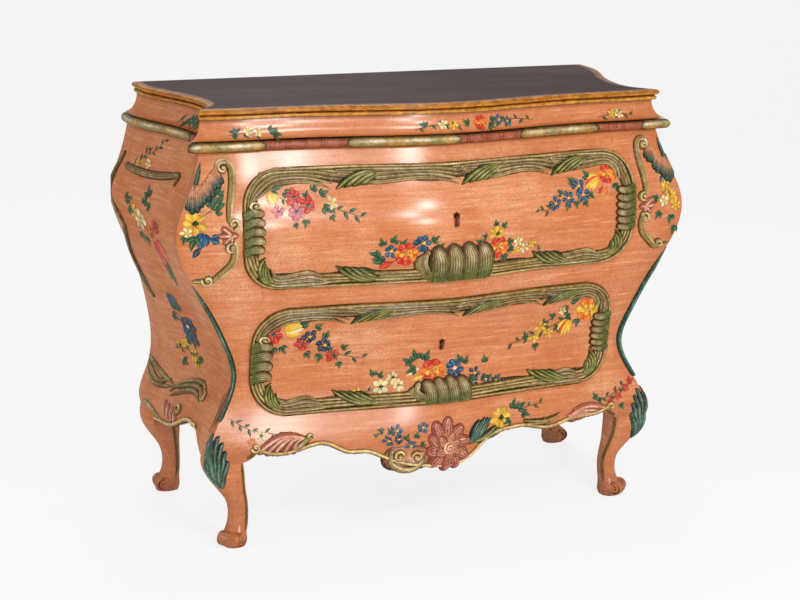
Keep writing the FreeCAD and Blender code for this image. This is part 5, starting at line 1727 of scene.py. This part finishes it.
class Paint:
    """Brushwork on a face: thin shapes, each laid just over the last. The layers start again
    from the lowest when they reach the height of a pile."""

    FIRST, RISE, PILE, LOWEST = 0.18, 0.006, 0.9, 0.15

    def __init__(self, face):
        self.face, self.out, self.layer = face, Builder(), self.FIRST

    def lay(self, points, half, tones, crown=0.12, stroke=0.5):
        """One stroke of the brush along a path, with its own widths."""
        run = np.gradient(points, axis=0)
        run /= np.maximum(np.linalg.norm(run, axis=1, keepdims=True), 1e-6)
        normal = np.stack([-run[:, 1], run[:, 0]], -1)
        v = spread(-1, 1, 5)
        grid = points[:, None] + normal[:, None] * (v[None, :, None] * half[:, None, None])
        self.layer += self.RISE
        lift = (self.layer % self.PILE + self.LOWEST + crown * (1 - v ** 2)[None]
                + 0 * half[:, None])
        dark, middle, pale = tones
        edge = (np.abs(v) ** 3)[None, :, None]
        tone = toward(middle, dark, edge * 0.8)
        u = spread(0, 1, len(points))[:, None, None]
        light = hump(v[None, :, None] + 0.2, 0.5) * (u ** 1.5) * stroke
        tone = toward(tone, pale, light * RANDOM.uniform(0.5, 1))
        self.out.grid(self.face.place(grid[..., 0], grid[..., 1], lift), tone)

    def dab(self, a, b, length, width, heading, tones, bend=0.0, blunt=0.75):
        """A petal or leaf from its root, with its widest place further out when blunt."""
        u = spread(0, 1, 7)
        turn = math.radians(heading) + bend * (u - 0.5)
        points = np.stack([a + np.cumsum(np.cos(turn)) * length / 7,
                           b + np.cumsum(np.sin(turn)) * length / 7], -1)
        half = width / 2 * np.sin(math.pi * np.clip(u ** (1.4 if blunt > 0.6 else 0.8), 0.03,
                                                    0.94 if blunt > 0.6 else 0.98)) + 0.15
        self.lay(points, half, tones)
        side = RANDOM.uniform(-0.4, 0.4) * width / 2
        shift = np.array([-math.sin(turn[3]), math.cos(turn[3])]) * side
        self.lay(points[2:-1] + shift, half[2:-1] * RANDOM.uniform(0.14, 0.26), (tones[2],) * 3)

    def line(self, points, width, tones=GREEN):
        path = smooth_path(points, 4)
        u = spread(0, 1, len(path))
        self.lay(path, width / 2 * (0.5 + 0.5 * np.sin(math.pi * np.clip(u, 0.1, 0.9))), tones,
                 stroke=0.2)

    def leaf(self, a, b, size, heading):
        """A leaf of three lobes."""
        for turn, share in ((-38, 0.68), (38, 0.68), (0, 1)):
            self.dab(a, b, size * share, size * 0.34, heading + turn, GREEN,
                     RANDOM.uniform(-0.5, 0.5), 0.5)

    def daisy(self, a, b, size, tones, petals, eye=YELLOW):
        """Petals round an eye, which is teal on the red and pink flowers."""
        turn = RANDOM.uniform(0, 60)
        for number in range(petals):
            heading = turn + 360 * number / petals
            shade = RANDOM.uniform(0.7, 1.1)
            self.dab(a, b, size * RANDOM.uniform(0.42, 0.6), size * RANDOM.uniform(0.3, 0.42),
                     heading + RANDOM.uniform(-9, 9), [tone * shade for tone in tones],
                     RANDOM.uniform(-0.4, 0.4))
        if tones is RED or tones is PINK_PAINT:
            eye = TEAL_EYE
        self.dot(a, b, size * (0.16 if eye is DARK_EYE else 0.13), eye)

    def dot(self, a, b, radius, tones):
        self.dab(a - radius, b, radius * 2.2, radius * 2, 0, tones)

    def rose(self, a, b, size, outer=RED, inner=ORANGE):
        """Overlapping petals that turn in on a paler heart."""
        for number in range(7):
            angle = 360 * number / 7 + 20
            x, z = polar(size * 0.12, angle)
            self.dab(a + x, b + z, size * 0.42, size * 0.46, angle, outer if number % 3 else inner)
        for number in range(5):
            angle = 72 * number + 50
            self.dab(a + polar(size * 0.04, angle)[0], b, size * 0.26, size * 0.26, angle,
                     inner if number % 2 else YELLOW)
        for number in range(4):
            angle = 95 * number
            x, z = polar(size * 0.1, angle)
            self.dab(a + x, b + z, size * 0.2, size * 0.09, angle + 90, RED, 1.4)

    def tulip(self, a, b, size, heading, tones, stripe):
        for turn, way in ((-24, tones), (24, tones), (-10, stripe), (10, tones), (0, tones)):
            self.dab(a, b, size * (1 - abs(turn) * 0.006), size * 0.34, heading + turn, way,
                     -turn * 0.02, 0.5)

    def spray(self, points, size, count):
        """A thin stem with leaves on both sides."""
        self.line(points, 1.6)
        path = smooth_path(points, 2)
        for number in range(count):
            place = int((number + 0.6) / count * (len(path) - 2))
            run = path[place + 1] - path[place]
            heading = math.degrees(math.atan2(run[1], run[0]))
            length = size * RANDOM.uniform(0.8, 1.1)
            self.dab(*path[place], length, length * 0.36, heading + (42 if number % 2 else -42),
                     GREEN, RANDOM.uniform(-0.5, 0.5), 0.5)

    def draw(self, rows):
        """Each row is a kind of motif with its places and sizes."""
        for kind, *facts in rows:
            getattr(self, kind)(*facts)


def leaves(*places):
    """Rows of leaves: place, size and heading of each."""
    return [("leaf", *place) for place in places]


def daisies(tones, petals, *places, eye=YELLOW):
    """Rows of like daisies: place and size of each."""
    return [("daisy", *place, tones, petals, eye) for place in places]


UPPER_FLOWERS = [
    ("spray", ((-352, 722), (-330, 706), (-322, 694)), 16, 3),
    ("tulip", -372, 733, 30, -60, YELLOW, CREAM),
    *leaves((-368, 736, 26, 10), (-342, 732, 22, -40), (-300, 716, 18, 70), (-285, 728, 20, 60),
            (-272, 722, 22, 20), (-268, 700, 24, -30), (-300, 678, 18, -100),
            (-252, 684, 16, -60), (-322, 672, 14, -80)),
    *daisies(RED, 6, (-322, 719, 36), (-296, 703, 34)), ("daisy", -320, 692, 34, PINK_PAINT, 6),
    ("daisy", -356, 694, 26, PINK_PAINT, 5, CREAM), ("daisy", -248, 706, 28, CREAM, 5),
    ("spray", ((-256, 700), (-224, 689), (-188, 677)), 18, 6),
    *leaves((-148, 618, 20, 110), (-130, 622, 22, 70), (-112, 616, 20, 60), (-152, 596, 28, 160),
            (-140, 590, 30, 190), (-86, 592, 18, -60), (-52, 622, 22, 40), (-44, 610, 20, 0)),
    ("daisy", -134, 608, 30, BLUE, 5), ("dab", -118, 590, 40, 14, 205, RED),
    ("rose", -102, 600, 46), ("daisy", -70, 622, 36, BLUE, 6),
    ("spray", ((-52, 606), (-36, 610), (-16, 606)), 14, 3),
    *leaves((90, 644, 16, 100), (104, 640, 18, 50), (62, 610, 22, 150), (70, 596, 22, 200),
            (84, 584, 20, -100), (112, 584, 22, -60), (118, 606, 22, 10), (122, 596, 20, -30),
            (70, 624, 16, 160)), ("daisy", 92, 629, 34, YELLOW, 6, DARK_EYE), ("rose", 98, 600, 44),
    ("spray", ((120, 592), (160, 598), (205, 590)), 14, 5),
    *daisies(CREAM, 5, (146, 606, 24), (162, 592, 22)),
    *daisies(YELLOW, 5, (180, 600, 20), (142, 588, 18)), ("rose", 364, 726, 38),
    ("tulip", 344, 724, 40, 215, YELLOW, RED), ("dab", 356, 708, 26, 8, 235, RED),
    ("dab", 364, 706, 24, 8, 250, ORANGE),
    *leaves((318, 718, 22, 120), (380, 708, 20, -80), (316, 690, 20, -40), (282, 712, 20, 140),
            (268, 674, 18, -110), (286, 678, 18, -80), (306, 676, 18, -60), (252, 690, 18, 130)),
    *daisies(BLUE, 5, (293, 706, 32), (302, 688, 32), (266, 684, 30), (234, 676, 28)),
    ("spray", ((230, 672), (206, 664), (190, 670)), 15, 4),
]
LOWER_FLOWERS = [
    ("daisy", -357, 441, 42, RED, 7, DARK_EYE), ("tulip", -336, 442, 46, 20, YELLOW, CREAM),
    *leaves((-352, 416, 24, -110), (-338, 416, 22, -60), (-300, 454, 26, 40),
            (-268, 444, 20, 40), (-250, 424, 20, 60), (-286, 398, 20, -60),
            (-256, 392, 22, -100), (-216, 372, 18, -80), (-212, 398, 18, 30)),
    ("daisy", -294, 415, 32, RED, 6), ("daisy", -280, 430, 30, NAVY, 5),
    ("daisy", -248, 409, 32, NAVY, 6), ("daisy", -230, 386, 30, RED, 6),
    ("spray", ((-270, 414), (-220, 388), (-158, 374)), 18, 6),
    *leaves((-140, 334, 20, 120), (-132, 330, 18, 60), (-152, 296, 20, -90),
            (-104, 300, 20, -60), (-60, 356, 28, 150), (-52, 362, 28, 110), (-40, 360, 28, 60),
            (-52, 346, 26, 200), (-18, 308, 22, -100), (52, 344, 22, 60), (44, 350, 20, 110),
            (66, 318, 22, -60), (104, 340, 20, 100)), ("daisy", -178, 302, 22, YELLOW, 5),
    *daisies(CREAM, 6, (-130, 312, 32), (-104, 330, 26), (-92, 314, 26), eye=DARK_EYE),
    ("spray", ((-186, 300), (-150, 306), (-110, 316)), 14, 4), ("dab", -78, 328, 34, 10, 30, CREAM),
    ("dab", -70, 320, 34, 9, 15, YELLOW), ("rose", -18, 336, 52),
    ("daisy", 30, 338, 42, BLUE, 7, CREAM),
    *daisies(NAVY, 5, (78, 322, 28), (74, 304, 26), (104, 306, 26), (128, 300, 22)),
    ("spray", ((90, 312), (124, 306), (152, 303)), 14, 5), ("rose", 344, 432, 50, ORANGE, YELLOW),
    ("dab", 352, 448, 20, 10, 100, RED),
    *leaves((316, 448, 24, 130), (326, 458, 24, 110), (300, 436, 24, 180), (308, 420, 26, 200),
            (322, 414, 22, -90), (268, 420, 20, 150), (250, 404, 20, 120), (226, 368, 20, -80),
            (204, 380, 20, 120), (272, 400, 18, -60)), ("tulip", 302, 416, 42, 250, YELLOW, RED),
    *daisies(YELLOW, 5, (238, 400, 30), (222, 382, 28), (256, 386, 24)),
    ("daisy", 284, 434, 18, CREAM, 5), ("spray", ((300, 420), (240, 392), (160, 372)), 18, 8),
]
CASE_FLOWERS = [
    ("spray", ((-446, 276), (-420, 258), (-396, 244)), 16, 6),
    ("spray", ((-396, 246), (-360, 238), (-302, 212)), 15, 7),
    ("daisy", -384, 236, 24, CREAM, 5, DARK_EYE), ("daisy", -404, 226, 18, ORANGE, 5),
    *daisies(BLUE, 5, (-101, 222, 26), (-120, 202, 24), (-72, 188, 26), (-45, 224, 24)),
    ("daisy", -98, 204, 22, NAVY, 5),
    *leaves((-128, 222, 16, 160), (-112, 216, 16, 120), (-84, 200, 18, 60), (-60, 202, 18, 70),
            (-52, 192, 16, -20), (-92, 182, 16, -120), (-140, 214, 12, 150)),
    ("daisy", 134, 222, 46, YELLOW, 8, DARK_EYE),
    *leaves((166, 234, 26, 70), (176, 232, 28, 30), (186, 226, 24, -20), (160, 216, 22, 200)),
    ("spray", ((180, 232), (210, 238), (240, 240)), 14, 4),
    *daisies(RED, 5, (425, 235, 20), (443, 249, 20), (455, 262, 18), (407, 225, 18)),
    ("spray", ((378, 232), (404, 236), (440, 258)), 15, 6),
    *leaves((384, 226, 18, 160), (372, 232, 18, 120), (428, 218, 18, -60)),
    # beside the upper drawer, left
    ("daisy", -520, 679, 44, YELLOW, 7, DARK_EYE), ("daisy", -534, 662, 24, CREAM, 5),
    ("tulip", -500, 664, 34, 250, BLUE, BLUE), ("dab", -500, 646, 30, 13, 20, NAVY),
    ("dab", -504, 642, 34, 12, 235, NAVY), ("dab", -496, 650, 24, 12, -20, BLUE),
    ("dab", -514, 660, 30, 12, 280, BLUE),
    *leaves((-516, 658, 34, 250), (-490, 706, 28, 60), (-476, 712, 26, 50), (-482, 700, 26, 30),
            (-472, 728, 26, 75), (-536, 656, 18, 250)),
    ("line", ((-508, 690), (-484, 706), (-464, 742)), 1.6),
    # beside the upper drawer, right
    *daisies(YELLOW, 6, (508, 690, 30), (522, 668, 30), (534, 648, 26)),
    ("daisy", 500, 662, 26, CREAM, 5), ("spray", ((488, 748), (502, 714), (512, 672)), 20, 6),
    *leaves((494, 640, 24, 230), (524, 632, 26, 260), (538, 606, 26, 250), (486, 664, 22, 150)),
]
SIDE_FLOWERS = [
    ("spray", ((158, 735), (132, 752), (117, 776)), 15, 6),
    ("spray", ((120, 760), (94, 774), (72, 800)), 14, 6), ("daisy", 108, 744, 20, CREAM, 5),
    ("daisy", 140, 742, 18, YELLOW, 5), ("daisy", 95, 631, 42, CREAM, 6, YELLOW),
    ("daisy", 118, 648, 30, YELLOW, 6), ("daisy", 41, 628, 30, RED, 6),
    ("daisy", 66, 612, 28, ORANGE, 5),
    *leaves((153, 664, 30, 160), (140, 650, 26, 200), (71, 679, 30, 70), (84, 664, 26, 110),
            (58, 660, 24, 30), (112, 606, 26, -110), (88, 600, 24, -80)),
    ("line", ((150, 672), (96, 632), (62, 590)), 1.8), ("tulip", 56, 602, 56, 245, RED, ORANGE),
    ("dab", 64, 560, 30, 12, 250, RED),
    *leaves((50, 548, 28, 220), (40, 540, 28, -60), (44, 534, 34, 260), (30, 548, 24, -20)),
    ("tulip", 104, 440, 40, 130, NAVY, BLUE), ("dab", 108, 446, 28, 10, 100, NAVY),
    *leaves((112, 425, 26, 200), (92, 440, 22, 60), (76, 436, 26, 80), (58, 380, 22, -90),
            (84, 372, 22, 160), (40, 380, 20, -30), (96, 330, 24, 200), (36, 350, 24, -90)),
    ("line", ((104, 440), (84, 424), (60, 380)), 1.6), ("daisy", 63, 406, 50, NAVY, 7, CREAM),
    ("daisy", 70, 392, 34, BLUE, 6, CREAM), ("daisy", 105, 356, 30, YELLOW, 5, DARK_EYE),
    ("daisy", 88, 364, 24, YELLOW, 5),
    *daisies(YELLOW, 6, (62, 346, 28), (44, 334, 28), eye=DARK_EYE),
    ("spray", ((128, 344), (100, 352), (50, 344)), 14, 5),
]
FRIEZE_FRONT_FLOWERS = [
    ("spray", ((-440, 838), (-410, 842), (-380, 840)), 14, 5),
    *daisies(CREAM, 5, (-400, 846, 20), (-380, 842, 18)),
    *leaves((-420, 842, 20, 170), (-360, 842, 22, 20), (-352, 838, 20, -10)),
    ("spray", ((-70, 838), (-20, 846), (30, 842)), 14, 7),
    ("spray", ((200, 842), (150, 848), (110, 844)), 14, 6), ("daisy", -10, 846, 22, CREAM, 5),
    ("daisy", 12, 844, 20, YELLOW, 5), ("rose", 74, 846, 28), ("dab", 60, 846, 26, 9, 170, YELLOW),
    *daisies(BLUE, 5, (118, 848, 22), (138, 844, 20)),
    *leaves((50, 844, 20, 150), (96, 846, 20, 20), (90, 840, 18, -20), (-44, 844, 18, 160)),
    ("spray", ((360, 838), (400, 844), (440, 838)), 14, 6), ("daisy", 392, 844, 20, YELLOW, 5),
    ("daisy", 408, 842, 18, CREAM, 5),
]
FRIEZE_SIDE_FLOWERS = [
    ("spray", ((60, 836), (0, 842), (-50, 840)), 18, 8), ("daisy", 10, 844, 18, CREAM, 5),
    *leaves((20, 842, 24, 160), (0, 842, 24, 30), (-16, 842, 22, -10), (34, 840, 20, 190)),
]


# Sketchy strokes down the arris of each side: how far behind it, the heights and the colour.
ARRIS_STROKES = ((12, 742, 690, 0), (22, 726, 640, 1), (8, 705, 600, 2), (28, 690, 610, 0),
                 (18, 660, 560, 2), (8, 610, 510, 0), (16, 330, 262, 0), (28, 318, 246, 2))


def paint_arris(paint):
    colours = [(srgb(*shade),) * 3 for shade in ((72, 38, 18), (150, 48, 30), (110, 96, 40))]
    for behind, top, foot, colour in ARRIS_STROKES:
        heights = spread(top, foot, 5)
        paint.line([(float(BACK - side_run(z)) + behind + 2 * math.sin(z * 0.11), z)
                    for z in heights], 5.5, colours[colour])


def add_flowers():
    for name, body, rows in (("upper", "upper_drawer", UPPER_FLOWERS),
                             ("lower", "lower_drawer", LOWER_FLOWERS),
                             ("case", "case", CASE_FLOWERS)):
        paint = Paint(FRONT)
        paint.draw(rows)
        paint.out.piece(f"{name}_flowers", FLOWER, body, merge=False)
    for side, face in SIDES.items():
        paint = Paint(face)
        paint.draw(SIDE_FLOWERS)
        paint_arris(paint)
        paint.out.piece(f"{side}_side_flowers", FLOWER, merge=False)
    for side, face in FRIEZE_FACES.items():
        paint = Paint(face)
        paint.draw(FRIEZE_SIDE_FLOWERS if side else FRIEZE_FRONT_FLOWERS)
        paint.out.piece(f"frieze_{SIDE_NAMES[side]}_flowers", FLOWER, merge=False)


add_flowers()


# ---------------------------------------------------------------- inner pieces

def finish_inner_pieces():
    """CAD pieces that stay as they are get the wood or the iron."""
    iron = ("upper_lock_case", "lower_lock_case", "upper_lock_bolt", "lower_lock_bolt",
            "back_nails")
    for name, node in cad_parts.items():
        if node.hide_render:
            continue
        node.data.materials.clear()
        node.data.materials.append(IRON if name in iron else BARE_WOOD)


finish_inner_pieces()


# ---------------------------------------------------------------- stage and light

def stage_material(name, colour, white):
    """Plain matt stage. What the camera and reflections see of it is mostly plain white."""
    finish = Finish(name)
    finish.put("Base Color", colour)
    finish.put("Roughness", 0.9)
    finish.put("Specular IOR Level", 0.1)
    glow = finish.nodes.new("ShaderNodeEmission")
    share = finish.math("MULTIPLY", finish.seen(), white)
    both = finish.nodes.new("ShaderNodeMixShader")
    for socket, value in zip(both.inputs, (share, finish.shader.outputs[0], glow.outputs[0])):
        finish.links.new(value, socket)
    finish.links.new(both.outputs[0], finish.nodes["Material Output"].inputs["Surface"])
    return finish.material


def add_stage():
    size, front, back, lift, bend = 9.0, -4, 3.2, 5.0, 1.6
    rows = [(-size, 0.0)] + [(y, 0.0) for y in spread(front, back, 8)]
    rows += [(back + bend * math.sin(a), bend * (1 - math.cos(a)))
             for a in spread(0.1, math.pi / 2, 14)]
    rows += [(back + bend, lift)]
    verts = [(x, y, z) for y, z in rows for x in (-size, size)]
    faces = [(2 * i, 2 * i + 1, 2 * i + 3, 2 * i + 2) for i in range(len(rows) - 1)]
    mesh = bpy.data.meshes.new("floor")
    mesh.from_pydata(verts, [], faces)
    mesh.polygons.foreach_set("use_smooth", [True] * len(faces))
    mesh.materials.append(stage_material("floor", (0.92, 0.92, 0.92), 0.8))
    floor = bpy.data.objects.new("floor", mesh)
    bpy.context.scene.collection.objects.link(floor)


# Each lamp: its place and width in metres, its power in watts, and the place that it faces.
LAMPS = {
    "key": ((-1.6, -3.0, 2.6), 1.2, 24, (0, 0, 0.45)),
    "side": ((-3.0, -0.4, 1.5), 1.0, 9, (-0.5, 0, 0.5)),
    "window_high": ((0.53, -2.7, 1.47), 0.26, 10, (-0.06, -0.23, 0.7)),
    "window_middle": ((0.18, -2.7, 1.07), 0.26, 8, (-0.33, -0.19, 0.69)),
    "window_low": ((0.45, -2.7, 0.62), 0.26, 7, (-0.35, -0.16, 0.25)),
    "skylight": ((0.32, -2.25, 2.25), 0.42, 14, (-0.1, -0.15, 0.8)),
    "rim": ((0.5, 2.2, 2.6), 1.5, 17, (0, 0, 0.45)),
}


def add_lamp(name, place, size, power, target):
    data = bpy.data.lights.new(name, "AREA")
    data.shape = "DISK"
    data.size = size
    data.energy = power
    lamp = bpy.data.objects.new(name, data)
    bpy.context.scene.collection.objects.link(lamp)
    lamp.location = place
    lamp.visible_camera = False
    direction = Vector(target) - Vector(place)
    lamp.rotation_euler = direction.to_track_quat("-Z", "Y").to_euler()


WORLD_LIGHT = 0.46


def add_world():
    """An even pale surround, which the camera and reflections see as plain white."""
    world = bpy.data.worlds.new("studio")
    bpy.context.scene.world = world
    world.use_nodes = True
    tree = Tree(world.node_tree)
    background = tree.nodes["Background"]
    tree.fill(background.inputs["Color"], (1, 1, 1))
    tree.fill(background.inputs["Strength"], tree.ramp(tree.seen(), 0, 1, WORLD_LIGHT, 1.0))


add_stage()
add_world()
for lamp_name, facts in LAMPS.items():
    add_lamp(lamp_name, *facts)

bpy.context.scene.view_settings.view_transform = "Standard"
